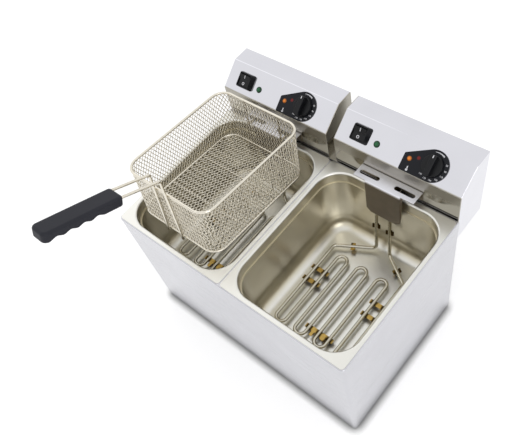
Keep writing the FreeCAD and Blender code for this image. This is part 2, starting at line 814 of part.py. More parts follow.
def skirt_returns():
    """Tapered side walls of the skirt."""
    t = HANGER_SHEET
    low = SHELF_TOP - SKIRT_DROP + SKIRT_CORNER
    top = SHELF_TOP - t
    edge = [(SHELF_FRONT + t, top), (SHELF_FRONT + RETURN_TOP, top)]
    edge += [(SHELF_FRONT + RETURN_FOOT, low), (SHELF_FRONT + t, low)]
    walls = []
    for s in (-1, 1):
        x = s * SKIRT_W / 2 - (t if s > 0 else 0)
        walls.append(polygon_face([vec(x, y, z) for y, z in edge]).extrude(RIGHT * t))
    return walls


def basket_hanger(tank_cx):
    """Bent sheet: flange on the head's wall, shelf with two slots, skirt down into the tank."""
    sheet = hanger_strip().extrude(RIGHT * SHELF_W)
    sheet.translate(RIGHT * (-SHELF_W / 2))
    for trim in skirt_trims():
        sheet = sheet.cut(trim)
    hanger = fuse([sheet] + skirt_returns())
    deep = HANGER_SHEET + 2 * PAST
    under = SHELF_TOP + PAST - deep
    for s in (-1, 1):
        hanger = hanger.cut(obround(SLOT_L, SLOT_W, deep, vec(s * SLOT_X, SLOT_Y, under)))
    for hole in pass_holes(0):
        hanger = hanger.cut(hole)
    hanger.translate(RIGHT * tank_cx)
    return hanger


def element_leg(side):
    """Points of one leg: from inside the head down to its foot and out to the shoulder."""
    x = LEG_MIDDLE + side * LEG_X
    knee = ELEMENT_Z + LEG_STRAIGHT_END
    leg = [vec(x, HEAD_FRONT + LEG_INTO_HEAD, LEG_TOP), vec(x, LEG_Y, LEG_TOP), vec(x, LEG_Y, knee)]
    leg.append(vec(x + LEG_LEAN, LEG_Y - LEG_TOE_IN, ELEMENT_Z))
    leg.append(vec(side * RUN_PITCH * (RUN_COUNT - 1) / 2, OPENING_REAR - SHOULDER_GAP, ELEMENT_Z))
    return leg


def element_runs():
    """Corner points of the runs to and fro between the two shoulders."""
    rear = OPENING_REAR - ELEMENT_REAR_GAP
    first = -RUN_PITCH * (RUN_COUNT - 1) / 2
    runs = []
    for i in range(RUN_COUNT - 1):
        x = first + i * RUN_PITCH
        y = ELEMENT_FRONT if i % 2 == 0 else rear
        runs += [vec(x, y, ELEMENT_Z), vec(x + RUN_PITCH, y, ELEMENT_Z)]
    return runs


def heating_element(tank_cx):
    """One bent tube: down the left leg, through all runs, up the right leg."""
    left = element_leg(-1)
    runs = element_runs()
    points = left + runs + element_leg(1)[::-1]
    leg_radii = [LEG_BEND_R] * (len(left) - 1)
    radii = leg_radii + [RUN_PITCH / 2] * len(runs) + leg_radii
    return round_wire([p + RIGHT * tank_cx for p in points], radii, TUBE_R)


def element_nuts(tank_cx):
    nuts = []
    for place in leg_places(tank_cx):
        outside = place - BACK * (HANGER_SHEET + NUT_H)
        nuts.append(hexagon_nut(NUT_FLATS, NUT_H, TUBE_R + FIT, outside, BACK))
        nuts.append(hexagon_nut(NUT_FLATS, NUT_H, TUBE_R + FIT, place + BACK * HEAD_SHEET, BACK))
    return group(nuts)


def clip_strap(tubes):
    """Strap at the middle height of parallel tubes, with a round saddle under each."""
    inner = TUBE_R + FIT
    half = tubes[-1] + inner + CLIP_EAR
    strap = box(-half, half, 0, CLIP_L, CLIP_ABOVE - CLIP_STRAP, CLIP_ABOVE)
    saddles = [cylinder(inner + CLIP_WALL, CLIP_L, RIGHT * x, BACK) for x in tubes]
    clip = fuse([strap] + saddles)
    clip = clip.cut(box(-half, half, 0, CLIP_L, CLIP_ABOVE, inner + CLIP_WALL))
    for x in tubes:
        clip = clip.cut(cylinder(inner, CLIP_L, RIGHT * x, BACK))
    return clip


def run_clip(x, y, count):
    """Clip under a number of neighbouring runs."""
    clip = clip_strap([(i - (count - 1) / 2) * RUN_PITCH for i in range(count)])
    clip.translate(vec(x, y - CLIP_L / 2, ELEMENT_Z))
    return clip


def front_clip():
    """Clip under three runs near the front, with a tab and a round screw head between them."""
    y = ELEMENT_FRONT + RUN_PITCH / 2 + CLIP_FRONT_INSET
    top = ELEMENT_Z + CLIP_ABOVE
    half = CLIP_TAB_W / 2
    tab = box(-half, half, y - CLIP_TAB_L, y, top - CLIP_STRAP, top)
    place = vec(RUN_PITCH, y - CLIP_SCREW_FORWARD, top - CLIP_STRAP)
    head = cylinder(CLIP_SCREW_R, CLIP_STRAP + CLIP_SCREW_H, place, UP)
    return fuse([run_clip(RUN_PITCH / 2, y, 3), tab, head])


def tube_clip(start, end, share):
    """Clip on one straight stretch of tube, part of the way from start to end."""
    along = (end - start).normalize()
    clip = clip_strap([0])
    place = start + (end - start) * share - along * (CLIP_L / 2)
    clip.Placement = FreeCAD.Placement(place, FreeCAD.Rotation(BACK, along))
    return clip


def element_clips(tank_cx):
    """Clips under the runs and shoulders and behind the legs."""
    edge = RUN_PITCH * (RUN_COUNT - 2) / 2
    clips = [run_clip(x, y, 2) for x in (-edge, edge) for y in (CLIP_REAR_Y, CLIP_MID_Y)]
    clips.append(front_clip())
    for side in SIDES.values():
        knee, foot, shoulder = element_leg(side)[2:]
        clips.append(tube_clip(foot, shoulder, CLIP_SHOULDER_SHARE))
        clips.append(tube_clip(foot, knee, CLIP_LEG_SHARE))
    clips = group(clips)
    clips.translate(RIGHT * tank_cx)
    return clips


def sensor_bulbs(tank_cx):
    """Two sensor rods behind the skirt, each on a thin tube that goes back into the head."""
    pieces = []
    for place in bulb_places(tank_cx):
        top = LEG_TOP - BULB_DOWN
        foot = SHELF_TOP - SKIRT_DROP - BULB_FOOT
        rod = cylinder(BULB_R, top - foot, vec(place.x, LEG_Y, foot), UP)
        way = [vec(place.x, LEG_Y, top), vec(place.x, LEG_Y, LEG_TOP)]
        way.append(vec(place.x, HEAD_FRONT + CAPILLARY_INTO_HEAD, LEG_TOP))
        pieces.append(rod.fuse(round_wire(way, [CAPILLARY_BEND_R], CAPILLARY_R)))
    return group(pieces)


def dial_plate(cx):
    """Drop-shaped plate: round at the dial, drawn out to a cut-off tip with a lens hole."""
    centre = vec(DIAL_X, DIAL_Y, 0)
    tip_x = DIAL_X - DIAL_TIP
    corner = vec(tip_x, DIAL_Y + DIAL_TIP_TOP, 0)
    to_corner = corner - centre
    swing = math.acos(DIAL_R / to_corner.Length)
    angle = math.atan2(to_corner.y, to_corner.x) - swing
    touch = centre + vec(DIAL_R * math.cos(angle), DIAL_R * math.sin(angle), 0)
    low = centre - vec(0, DIAL_R, 0)
    right = centre + vec(DIAL_R, 0, 0)
    low_corner = vec(tip_x, low.y, 0)
    edges = [Part.makeLine(low_corner, low), Part.Arc(low, right, touch).toShape()]
    edges += [Part.makeLine(touch, corner), Part.makeLine(corner, low_corner)]
    plate = prism(Part.Face(Part.Wire(edges)), DIAL_T)
    tip_edges = [e for e in plate.Edges if abs(e.CenterOfMass.x - tip_x) < SAME and e.Length < DIAL_T + SAME]
    plate = plate.makeFillet(DIAL_CORNER_R, tip_edges)
    for hole in panel_cutouts()[2:]:
        plate = plate.cut(hole)
    return on_panel(plate, cx)


def knob(cx):
    """Round knob with a raised grip bar, bored from below for its shaft."""
    z = DIAL_T + KNOB_LIFT
    disc = Part.makeCone(KNOB_R, KNOB_TOP_R, KNOB_DISC_H, vec(DIAL_X, DIAL_Y, z))
    grip = cylinder(KNOB_TOP_R, KNOB_BAR_H, vec(DIAL_X, DIAL_Y, z), UP)
    half = KNOB_BAR_W / 2
    bar = box(DIAL_X - half, DIAL_X + half, DIAL_Y - KNOB_R, DIAL_Y + KNOB_R, z, z + KNOB_BAR_H)
    bar = bar.common(grip)
    bar_top = [e for e in bar.Edges if e.BoundBox.ZMin > z + KNOB_BAR_H - SAME]
    disc_top = [e for e in disc.Edges if e.BoundBox.ZMin > z + KNOB_DISC_H - SAME]
    bar = bar.makeFillet(KNOB_EDGE_R, bar_top)
    disc = disc.makeFillet(KNOB_EDGE_R, disc_top)
    body = disc.fuse(bar).removeSplitter()
    body = body.cut(cylinder(SHAFT_R + SHAFT_FIT / 2, SHAFT_GRIP, vec(DIAL_X, DIAL_Y, z), UP))
    return on_panel(body, cx)


def thermostat_shaft(cx):
    top = DIAL_T + KNOB_LIFT + SHAFT_GRIP
    foot = PAST - HEAD_SHEET - BUSH_DEPTH
    shaft = cylinder(SHAFT_R, top - foot, vec(DIAL_X, DIAL_Y, foot), UP)
    return on_panel(shaft, cx)


def thermostat(cx):
    """Square can behind the panel, with the bush that the shaft turns in."""
    half = THERMOSTAT_W / 2
    z = -HEAD_SHEET
    can = box(DIAL_X - half, DIAL_X + half, DIAL_Y - half, DIAL_Y + half, z - THERMOSTAT_H, z)
    bush = cylinder(BUSH_R, HEAD_SHEET + DIAL_T, vec(DIAL_X, DIAL_Y, z), UP)
    bore = cylinder(SHAFT_R + SHAFT_FIT, BUSH_DEPTH + 2 * DIAL_T, vec(DIAL_X, DIAL_Y, z - BUSH_DEPTH), UP)
    return on_panel(fuse([can, bush]).cut(bore), cx)


def domed_lamp(x, y, seat, dome_r, dome_h, body_r, body_l):
    """Lamp with a domed head on its seat and a plain body through the hole."""
    top = vec(0, 0, seat + dome_h)
    shoulder = vec(dome_r * DOME_FULLNESS, 0, seat + dome_h * DOME_FULLNESS)
    rim = vec(dome_r, 0, seat)
    edges = [Part.Arc(top, shoulder, rim).toShape(), Part.makeLine(rim, vec(body_r, 0, seat))]
    edges.append(Part.makeLine(vec(body_r, 0, seat), vec(body_r, 0, seat - body_l)))
    edges.append(Part.makeLine(vec(body_r, 0, seat - body_l), vec(0, 0, seat - body_l)))
    edges.append(Part.makeLine(vec(0, 0, seat - body_l), top))
    lamp = Part.Face(Part.Wire(edges)).revolve(vec(0, 0, 0), UP, 360)
    lamp.translate(vec(x, y, 0))
    return lamp


def power_lamp(cx):
    return on_panel(domed_lamp(LAMP_X, LAMP_Y, 0, LAMP_R, LAMP_DOME_H, LAMP_BODY_R, LAMP_BODY_L), cx)


def heat_lamp(cx):
    lens = domed_lamp(lens_x(), LENS_Y, DIAL_T, LENS_R, LENS_DOME_H, LENS_BODY_R, LAMP_BODY_L)
    return on_panel(lens, cx)


def pivot_pin(r, reach):
    """Round bar across the switch through both side walls, as far as reach into each."""
    half = SWITCH_W / 2 - SWITCH_WALL + reach
    return cylinder(r, 2 * half, vec(-half, 0, PIVOT_HEIGHT), RIGHT)


def switch_body(cx):
    """Collar on the panel and a hollow body behind it, bored for the rocker's pivots."""
    foot = rounded_face(COLLAR_W, COLLAR_L, COLLAR_R, 0).OuterWire
    top = rounded_face(COLLAR_TOP_W, COLLAR_TOP_L, COLLAR_TOP_R, COLLAR_H).OuterWire
    collar = Part.makeLoft([foot, top], True, True)
    body = box(-SWITCH_W / 2, SWITCH_W / 2, -SWITCH_L / 2, SWITCH_L / 2, -SWITCH_DEPTH, 0)
    x = SWITCH_W / 2 - SWITCH_WALL
    y = SWITCH_L / 2 - SWITCH_WALL
    hollow = box(-x, x, -y, y, SWITCH_FLOOR - SWITCH_DEPTH, COLLAR_H + PAST)
    switch = fuse([collar, body]).cut(hollow).cut(pivot_pin(PIVOT_R + PIVOT_FIT, PIVOT_REACH + PIVOT_FIT))
    switch.translate(vec(SWITCH_X, SWITCH_Y, 0))
    return on_panel(switch, cx)


def rocker(cx):
    """Rocker with a dished face, round ends about its pivots; its lower end is pressed in."""
    half_w = SWITCH_W / 2 - SWITCH_WALL - ROCKER_SIDE_CLEAR
    swing_r = SWITCH_L / 2 - SWITCH_WALL - ROCKER_END_CLEAR
    top = PIVOT_HEIGHT + ROCKER_RISE
    low = PIVOT_HEIGHT - ROCKER_BELOW
    outline = [(-swing_r, low), (swing_r, low), (swing_r, top), (0, top - ROCKER_DIP), (-swing_r, top)]
    face = polygon_face([vec(-half_w, y, z) for y, z in outline])
    body = face.extrude(RIGHT * (2 * half_w))
    swing = cylinder(swing_r, 2 * half_w, vec(-half_w, 0, PIVOT_HEIGHT), RIGHT)
    body = body.common(swing).fuse(pivot_pin(PIVOT_R, PIVOT_REACH))
    body.rotate(vec(0, 0, PIVOT_HEIGHT), RIGHT, ROCKER_TILT)
    body.translate(vec(SWITCH_X, SWITCH_Y, 0))
    return on_panel(body, cx)


def terminal_block(cx):
    """Row of screw terminals on the head's bottom plate."""
    z = HEAD_BOTTOM + HEAD_SHEET
    y1 = COVER_Y - HEAD_SHEET - TERMINAL_H
    x0 = cx + TERMINAL_X - TERMINAL_W / 2
    block = box(x0, x0 + TERMINAL_W, y1 - TERMINAL_L, y1, z, z + TERMINAL_H)
    pitch = TERMINAL_W / TERMINAL_POLES
    for i in range(TERMINAL_POLES):
        x = x0 + pitch * (i + 0.5)
        hole = vec(x, y1 - TERMINAL_L / 2, z + TERMINAL_H - TERMINAL_HOLE_L)
        block = block.cut(cylinder(TERMINAL_HOLE_R, TERMINAL_HOLE_L, hole, UP))
    return block


def limiter(cx):
    """Round safety cut-out fixed inside the cover's back."""
    base = vec(cx + LIMITER_X, COVER_Y - LIMITER_L, HEAD_BOTTOM + LIMITER_Z)
    return cylinder(LIMITER_R, LIMITER_L, base, BACK)


def cable_gland(cx):
    """Screwed gland through the cover's back, its bore ready for a mains lead."""
    place = gland_place(cx)
    nut = hexagon_nut(GLAND_FLATS, GLAND_NUT_H, GLAND_BORE_R, place, BACK)
    cap = Part.makeCone(GLAND_CAP_R, GLAND_BORE_R + GLAND_LIP, GLAND_CAP_L, place + BACK * GLAND_NUT_H, BACK)
    stem = cylinder(GLAND_R, HEAD_SHEET, place - BACK * HEAD_SHEET, BACK)
    inside = place - BACK * (HEAD_SHEET + GLAND_NUT_H)
    lock = hexagon_nut(GLAND_FLATS, GLAND_NUT_H, GLAND_BORE_R, inside, BACK)
    length = 2 * GLAND_NUT_H + HEAD_SHEET + GLAND_CAP_L
    bore = cylinder(GLAND_BORE_R, length, inside, BACK)
    return fuse([nut, cap, stem, lock]).cut(bore)


def hang(shape):
    """Basket frame to the room: rim's rear middle at its hung place, tipped front up."""
    placed = shape.copy()
    turn = FreeCAD.Rotation(RIGHT, -BASKET_TILT)
    placed.Placement = FreeCAD.Placement(basket_origin(), turn).multiply(placed.Placement)
    return placed


def strut_offset():
    """How far a rear strut's middle line stands behind the net's middle plane."""
    return NET_T / 2 + WELD_GAP + HOOK_R


def strut_y_at_shelf():
    """Rear strut's middle line at the shelf's height, seen from the rim's rear middle."""
    tilt = math.radians(BASKET_TILT)
    return strut_offset() * math.cos(tilt) - HANG_RISE * math.tan(tilt)


def basket_origin():
    rear_face = strut_y_at_shelf() + HOOK_R
    return vec(-TANK_X, SHELF_FRONT - HANG_CLEAR - rear_face, SHELF_TOP + HANG_RISE)


def basket_rim():
    return hang(wire_loop(BASKET_W, BASKET_L, BASKET_R, RIM_R, 0, -BASKET_L / 2))


def basket_bottom_frame():
    return hang(wire_loop(BASKET_W, BASKET_L, BASKET_R, FRAME_R, -BASKET_H, -BASKET_L / 2))


def net_holes(w, height, x_count, y_count):
    """Rectangles of a net's gaps, with one bar's width left all round."""
    step_x = (w - NET_BAR) / x_count
    step_y = (height - NET_BAR) / y_count
    for i in range(x_count):
        for j in range(y_count):
            x = -w / 2 + NET_BAR + i * step_x
            y = -height / 2 + NET_BAR + j * step_y
            yield i, j, x, y, x + step_x - NET_BAR, y + step_y - NET_BAR


def hole_wire(x0, y0, x1, y1):
    corners = [vec(x0, y0, 0), vec(x1, y0, 0), vec(x1, y1, 0), vec(x0, y1, 0), vec(x0, y0, 0)]
    return Part.makePolygon(corners)


def net(w, height, outline, skip_corners):
    """Flat net as one holed sheet, standing on its middle plane."""
    x_count = max(1, round(w / NET_GAP))
    y_count = max(1, round(height / NET_GAP))
    wires = [outline]
    for i, j, x0, y0, x1, y1 in net_holes(w, height, x_count, y_count):
        at_corner = i in (0, x_count - 1) and j in (0, y_count - 1)
        if not (skip_corners and at_corner):
            wires.append(hole_wire(x0, y0, x1, y1))
    face = Part.makeFace(wires, "Part::FaceMakerBullseye")
    sheet = face.extrude(vec(0, 0, NET_T))
    sheet.translate(vec(0, 0, -NET_T / 2))
    return sheet


def wall_height():
    return BASKET_H - RIM_R - FRAME_R - 2 * WELD_GAP


def wall_middle():
    return -(RIM_R + WELD_GAP + wall_height() / 2)


def wall_net(w, turn_deg, x, y):
    """One wall of the basket: a flat net stood upright and turned to its side."""
    h = wall_height()
    sheet = net(w, h, hole_wire(-w / 2, -h / 2, w / 2, h / 2), False)
    upright = FreeCAD.Rotation(RIGHT, 90)
    turn = FreeCAD.Rotation(UP, turn_deg)
    sheet.Placement = FreeCAD.Placement(vec(x, y, wall_middle()), turn.multiply(upright))
    return hang(sheet)


def basket_nets():
    flat_w = BASKET_W - 2 * BASKET_R
    flat_l = BASKET_L - 2 * BASKET_R
    return {
        "basket_net_front": wall_net(flat_w, 0, 0, -BASKET_L),
        "basket_net_rear": wall_net(flat_w, 0, 0, 0),
        "basket_net_left": wall_net(flat_l, 90, -BASKET_W / 2, -BASKET_L / 2),
        "basket_net_right": wall_net(flat_l, 90, BASKET_W / 2, -BASKET_L / 2),
    }


def basket_net_floor():
    shrink = FRAME_R + WELD_GAP
    w = BASKET_W - 2 * shrink
    length = BASKET_L - 2 * shrink
    outline = rounded_face(w, length, BASKET_R - shrink, 0).OuterWire
    sheet = net(w, length, outline, True)
    sheet.Placement = FreeCAD.Placement(vec(0, -BASKET_L / 2, -BASKET_H), FreeCAD.Rotation())
    return hang(sheet)


def basket_net_corners():
    """Bent corner strips between the flat walls."""
    h = wall_height()
    z = wall_middle() - h / 2
    strips = []
    rear = -BASKET_R
    front = BASKET_R - BASKET_L
    x = BASKET_W / 2 - BASKET_R
    for i, (cx, cy) in enumerate(((x, rear), (-x, rear), (-x, front), (x, front))):
        centre = vec(cx, cy, z)
        ring = Part.makeCylinder(BASKET_R + NET_T / 2, h, centre, UP, 90)
        ring = ring.cut(Part.makeCylinder(BASKET_R - NET_T / 2, h, centre, UP, 360))
        ring.rotate(centre, UP, 90 * i)
        strips.append(hang(ring))
    return group(strips)


def basket_cross_wires():
    """Two bars under the floor net, from side to side of the bottom frame."""
    half = BASKET_W / 2 - FRAME_R - WELD_GAP
    z = -BASKET_H - NET_T / 2 - WELD_GAP - CROSS_R
    bars = []
    for i in range(CROSS_WIRES):
        y = -BASKET_L * (i + 1) / (CROSS_WIRES + 1)
        bars.append(hang(cylinder(CROSS_R, 2 * half, vec(-half, y, z), RIGHT)))
    return group(bars)


def basket_hooks():
    """Two rear struts, each with a level hook whose tail drops into a slot of the shelf."""
    top = vec(0, strut_offset(), -RIM_R - WELD_GAP)
    foot = vec(0, strut_offset(), WELD_GAP + FRAME_R - BASKET_H)
    z = SHELF_TOP + REST_GAP + HOOK_R
    pieces = []
    for s in (-1, 1):
        across = vec(s * HOOK_X, 0, 0)
        strut = cylinder(HOOK_R, (top - foot).Length, foot + across, UP)
        start_y = basket_origin().y + strut_y_at_shelf()
        x = -TANK_X + s * HOOK_X
        way = [vec(x, start_y, z), vec(x, SLOT_Y, z), vec(x, SLOT_Y, SHELF_TOP - HOOK_TAIL)]
        hook = round_wire(way, [HOOK_BEND_R], HOOK_R)
        pieces.append(hang(strut).fuse(hook))
    return group(pieces)


def handle_bend():
    """Where a handle wire turns from the front wall into the handle."""
    y = -BASKET_L - RIM_R - WELD_GAP - HANDLE_R
    return vec(0, y, HANDLE_RISE)


def handle_along(slope_deg):
    """Direction from the basket to the hand, rising at a slope."""
    slope = math.radians(slope_deg)
    return vec(0, -math.cos(slope), math.sin(slope))


def handle_knee():
    """Where a handle wire turns from its rise to the grip's flatter slope."""
    return handle_bend() + handle_along(HANDLE_SLOPE) * HANDLE_REACH


def handle_wires():
    """Two wires from the grip down the outside of the front wall to below the frame."""
    wires = []
    for s in (-1, 1):
        out = RIGHT * (s * HANDLE_TOP_X)
        far = handle_knee() + handle_along(GRIP_SLOPE) * (GRIP_GAP + HANDLE_SOCKET)
        foot = vec(s * HANDLE_FOOT_X, handle_bend().y, -BASKET_H - FRAME_R - STRUT_FOOT)
        points = [far + out, handle_knee() + out, handle_bend() + out, foot]
        wires.append(hang(round_wire(points, [GRIP_BEND_R, HANDLE_BEND_R], HANDLE_R)))
    return group(wires)


def grip_side():
    """Side view of the grip: a long block with a row of finger hollows underneath."""
    low = -GRIP_H / 2
    high = GRIP_H / 2
    outline = [(0, low), (0, high), (-GRIP_L, high), (-GRIP_L, low)]
    radii = [0, 0, 0, 0]
    last = -SCALLOP_START - SCALLOPS * SCALLOP_L
    for i in range(SCALLOPS):
        y = last + i * SCALLOP_L
        outline += [(y, low), (y + SCALLOP_L / 2, low + SCALLOP_DEPTH)]
        radii += [SCALLOP_R, SCALLOP_R]
    outline.append((-SCALLOP_START, low))
    radii.append(SCALLOP_R)
    return rounded_polygon([vec(0, y, z) for y, z in outline], radii)


def grip_plan():
    """The grip from above: wide round corners at the far end, smaller ones at the wires."""
    half = GRIP_W / 2
    low = -GRIP_H / 2
    corners = [vec(-half, 0, low), vec(half, 0, low), vec(half, -GRIP_L, low), vec(-half, -GRIP_L, low)]
    return rounded_polygon(corners, [GRIP_NEAR_R, GRIP_NEAR_R, GRIP_END_R, GRIP_END_R])


def grip_block():
    """Plan and side view cut from one block, its outer edges rounded."""
    side = grip_side().extrude(RIGHT * GRIP_W)
    side.translate(RIGHT * (-GRIP_W / 2))
    block = prism(grip_plan(), GRIP_H).common(side).removeSplitter()
    top_edges = [e for e in block.Edges if level(e, GRIP_H / 2)]
    block = block.makeFillet(GRIP_EDGE_R, top_edges)
    return block.makeFillet(GRIP_UNDER_R, [e for e in block.Edges if on_underside(e)])


def on_underside(edge):
    """True for an edge between the grip's underside and its sides."""
    bounds = edge.BoundBox
    across = bounds.YLength < SAME and -GRIP_L + SAME < bounds.YMin < -SAME
    return bounds.ZMax < -GRIP_H / 2 + SCALLOP_DEPTH + SAME and not across


def handle_grip():
    """Moulded grip with a socket for each handle wire."""
    grip = grip_block()
    for s in (-1, 1):
        mouth = vec(s * HANDLE_TOP_X, 0, GRIP_DROP)
        grip = grip.cut(cylinder(HANDLE_R + FIT, HANDLE_SOCKET + FIT, mouth, -BACK))
    turn = FreeCAD.Rotation(RIGHT, -GRIP_SLOPE)
    near = handle_knee() + handle_along(GRIP_SLOPE) * GRIP_GAP
    grip.Placement = FreeCAD.Placement(near - turn.multVec(UP * GRIP_DROP), turn)
    return hang(grip)


def casing_screws():
    screws = [screw(p, BACK) for p in rear_panel_screw_places()]
    for side in SIDES.values():
        screws += [screw(p, BACK) for p in bracket_screw_places(side * HEAD_X)]
    return group(screws)


def head_screws(cx):
    return group([screw(p, BACK) for p in cover_screw_places(cx)])


def head_pieces(name, side):
    """All pieces of one control head."""
    cx = side * HEAD_X
    tank_cx = side * TANK_X
    return {
        "head_shell_" + name: head_shell(cx, tank_cx),
        "head_cover_" + name: head_cover(cx),
        "head_screws_" + name: head_screws(cx),
        "basket_hanger_" + name: basket_hanger(tank_cx),
        "heating_element_" + name: heating_element(tank_cx),
        "element_nuts_" + name: element_nuts(tank_cx),
        "element_clips_" + name: element_clips(tank_cx),
        "sensor_bulbs_" + name: sensor_bulbs(tank_cx),
        "dial_plate_" + name: dial_plate(cx),
        "knob_" + name: knob(cx),
        "thermostat_shaft_" + name: thermostat_shaft(cx),
        "thermostat_" + name: thermostat(cx),
        "power_lamp_" + name: power_lamp(cx),
        "heat_lamp_" + name: heat_lamp(cx),
        "switch_body_" + name: switch_body(cx),
        "rocker_" + name: rocker(cx),
        "terminal_block_" + name: terminal_block(cx),
        "limiter_" + name: limiter(cx),
        "cable_gland_" + name: cable_gland(cx),
    }


def all_pieces():
    pieces = {
        "casing_wrap": casing_wrap(),
        "casing_rear": casing_rear(),
        "casing_screws": casing_screws(),
        "rear_rail": rear_rail(),
        "base_plate": base_plate(),
        "feet": feet(),
        "centre_bar": centre_bar(),
        "head_brackets": group([head_bracket(s * HEAD_X) for s in SIDES.values()]),
        "basket_rim": basket_rim(),
        "basket_bottom_frame": basket_bottom_frame(),
        "basket_net_floor": basket_net_floor(),
        "basket_net_corners": basket_net_corners(),
        "basket_cross_wires": basket_cross_wires(),
        "basket_hooks": basket_hooks(),
        "handle_wires": handle_wires(),
        "handle_grip": handle_grip(),
    }
    pieces.update(basket_nets())
    for name, side in SIDES.items():
        pieces["tank_" + name] = tank(side * TANK_X)
        pieces.update(head_pieces(name, side))
    return pieces


os.makedirs("parts", exist_ok=True)
for node, piece in all_pieces().items():
    save(node, piece)
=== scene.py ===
import json
import math

import bmesh
import bpy
from bpy.props import FloatProperty, FloatVectorProperty, IntProperty, PointerProperty
from mathutils import Matrix, Vector
from mathutils.bvhtree import BVHTree


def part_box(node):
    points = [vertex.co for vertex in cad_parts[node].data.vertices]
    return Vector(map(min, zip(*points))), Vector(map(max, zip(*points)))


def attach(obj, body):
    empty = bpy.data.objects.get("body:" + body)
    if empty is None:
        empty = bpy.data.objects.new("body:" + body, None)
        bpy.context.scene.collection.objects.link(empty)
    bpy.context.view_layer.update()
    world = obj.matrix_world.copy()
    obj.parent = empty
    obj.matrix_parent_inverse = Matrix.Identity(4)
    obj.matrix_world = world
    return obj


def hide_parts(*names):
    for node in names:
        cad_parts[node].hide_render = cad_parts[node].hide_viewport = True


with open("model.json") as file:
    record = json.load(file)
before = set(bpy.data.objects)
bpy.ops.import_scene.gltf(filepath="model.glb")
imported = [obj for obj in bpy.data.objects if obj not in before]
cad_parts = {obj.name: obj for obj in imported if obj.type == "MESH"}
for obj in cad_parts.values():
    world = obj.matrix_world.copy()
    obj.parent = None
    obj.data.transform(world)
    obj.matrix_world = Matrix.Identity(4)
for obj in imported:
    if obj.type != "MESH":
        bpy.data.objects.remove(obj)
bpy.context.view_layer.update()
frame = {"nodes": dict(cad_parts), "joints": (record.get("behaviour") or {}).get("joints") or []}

bl_info = {
    "name": "Twin-tank fryer looks",
    "version": (1, 0, 0),
    "blender": (4, 5, 0),
    "location": "3D View > Sidebar > Fryer",
    "description": "Gives the packed frame of a countertop fryer its finishes and its fine pieces",
    "category": "Object",
}

NODES = frame["nodes"]
JOINTS = {joint["name"]: joint for joint in frame["joints"]}
SIDES = ("left", "right")
MM = 0.001

# How far print stands proud of what it is on, and the steps round a printed circle
HAIR = 0.1 * MM
PRINT_STEPS = 24

# Rows of points along a mesh wire from one crossing to the next, and the faces round what is round
ROWS_PER_CROSSING = 3
WIRE_SIDES = 6
CORNER_STEPS = 12
SCREW_SIDES = 20


# Helpers for colours, nodes and pieces

def linear(code):
    """An sRGB hex colour as linear red, green, blue and a full alpha."""
    parts = [int(code[i:i + 2], 16) / 255 for i in (1, 3, 5)]
    return [p / 12.92 if p <= 0.04045 else ((p + 0.055) / 1.055) ** 2.4 for p in parts] + [1.0]


def darker(tint, share):
    """The same colour with its light cut to a share."""
    return [part * share for part in tint[:3]] + [1.0]


def per(millimetres):
    """Scale of a pattern whose features have this size."""
    return 1 / (millimetres * MM)


def add(tree, kind, inputs=None, **settings):
    """Add one node with its settings; each input takes a value, a socket or a node's first output."""
    node = tree.nodes.new(kind)
    for key, value in settings.items():
        setattr(node, key, value)
    for key, value in (inputs or {}).items():
        if isinstance(value, bpy.types.Node):
            value = next(socket for socket in value.outputs if socket.enabled)
        if isinstance(value, bpy.types.NodeSocket):
            tree.links.new(value, node.inputs[key])
        else:
            node.inputs[key].default_value = value
    return node


def start_material(name):
    """New empty material with its node tree and the object's own coordinates."""
    material = bpy.data.materials.new(name)
    material.use_nodes = True
    tree = material.node_tree
    tree.nodes.clear()
    return material, tree, add(tree, "ShaderNodeTexCoord").outputs["Object"]


def end_material(material, tone, gloss, inputs):
    """Close a material with its colour, its roughness and the shader's other inputs."""
    tree = material.node_tree
    shader = add(tree, "ShaderNodeBsdfPrincipled", {"Base Color": tone, "Roughness": gloss, **inputs})
    add(tree, "ShaderNodeOutputMaterial", {"Surface": shader})
    return material


def mottled(tree, place, tint, share, patch_mm, detail=2.0):
    """Patches of a given size, and the tint that they shade down to a share of its light."""
    patches = add(tree, "ShaderNodeTexNoise", {"Vector": place, "Scale": per(patch_mm), "Detail": detail})
    tone = add(tree, "ShaderNodeMix", {"Factor": patches, "A": darker(tint, share), "B": tint},
               data_type="RGBA")
    return patches, tone


def drawn_out(tree, place, mark_mm, detail=3.0):
    """Long marks of a given size along X, Y and Z."""
    marks = add(tree, "ShaderNodeMapping", {"Vector": place, "Scale": [per(size) for size in mark_mm]})
    return add(tree, "ShaderNodeTexNoise", {"Vector": marks, "Scale": 1.0, "Detail": detail})


def seen_rays(tree):
    """One for the rays of the eye, of mirrors and of glass, and nought for the rays that light things."""
    rays = add(tree, "ShaderNodeLightPath").outputs
    direct = add(tree, "ShaderNodeMath", {0: rays["Is Camera Ray"], 1: rays["Is Glossy Ray"]},
                 operation="MAXIMUM")
    return add(tree, "ShaderNodeMath", {0: direct, 1: rays["Is Transmission Ray"]}, operation="MAXIMUM")


def pairs(*names):
    """Names of the left and right nodes of each pair."""
    return [f"{name}_{side}" for name in names for side in SIDES]


def finish(material, *names):
    """Give CAD nodes this material."""
    for name in names:
        for slot in NODES[name].material_slots:
            slot.material = material


def new_object(name, data):
    """Put a mesh, text, lamp or camera in the scene."""
    made = bpy.data.objects.new(name, data)
    bpy.context.scene.collection.objects.link(made)
    return made


def taken_mesh(holder):
    """Evaluate an object as a plain mesh and remove the object."""
    made = bpy.data.meshes.new_from_object(holder.evaluated_get(bpy.context.evaluated_depsgraph_get()))
    bpy.data.objects.remove(holder)
    return made


def add_piece(name, mesh, material, body, slot, *replaced):
    """Put a finished mesh in the scene as a piece that rides on a body."""
    mesh.name = name
    mesh.materials.clear()
    mesh.materials.append(material)
    piece = new_object(name, mesh)
    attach(piece, body)
    if replaced:
        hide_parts(*replaced)


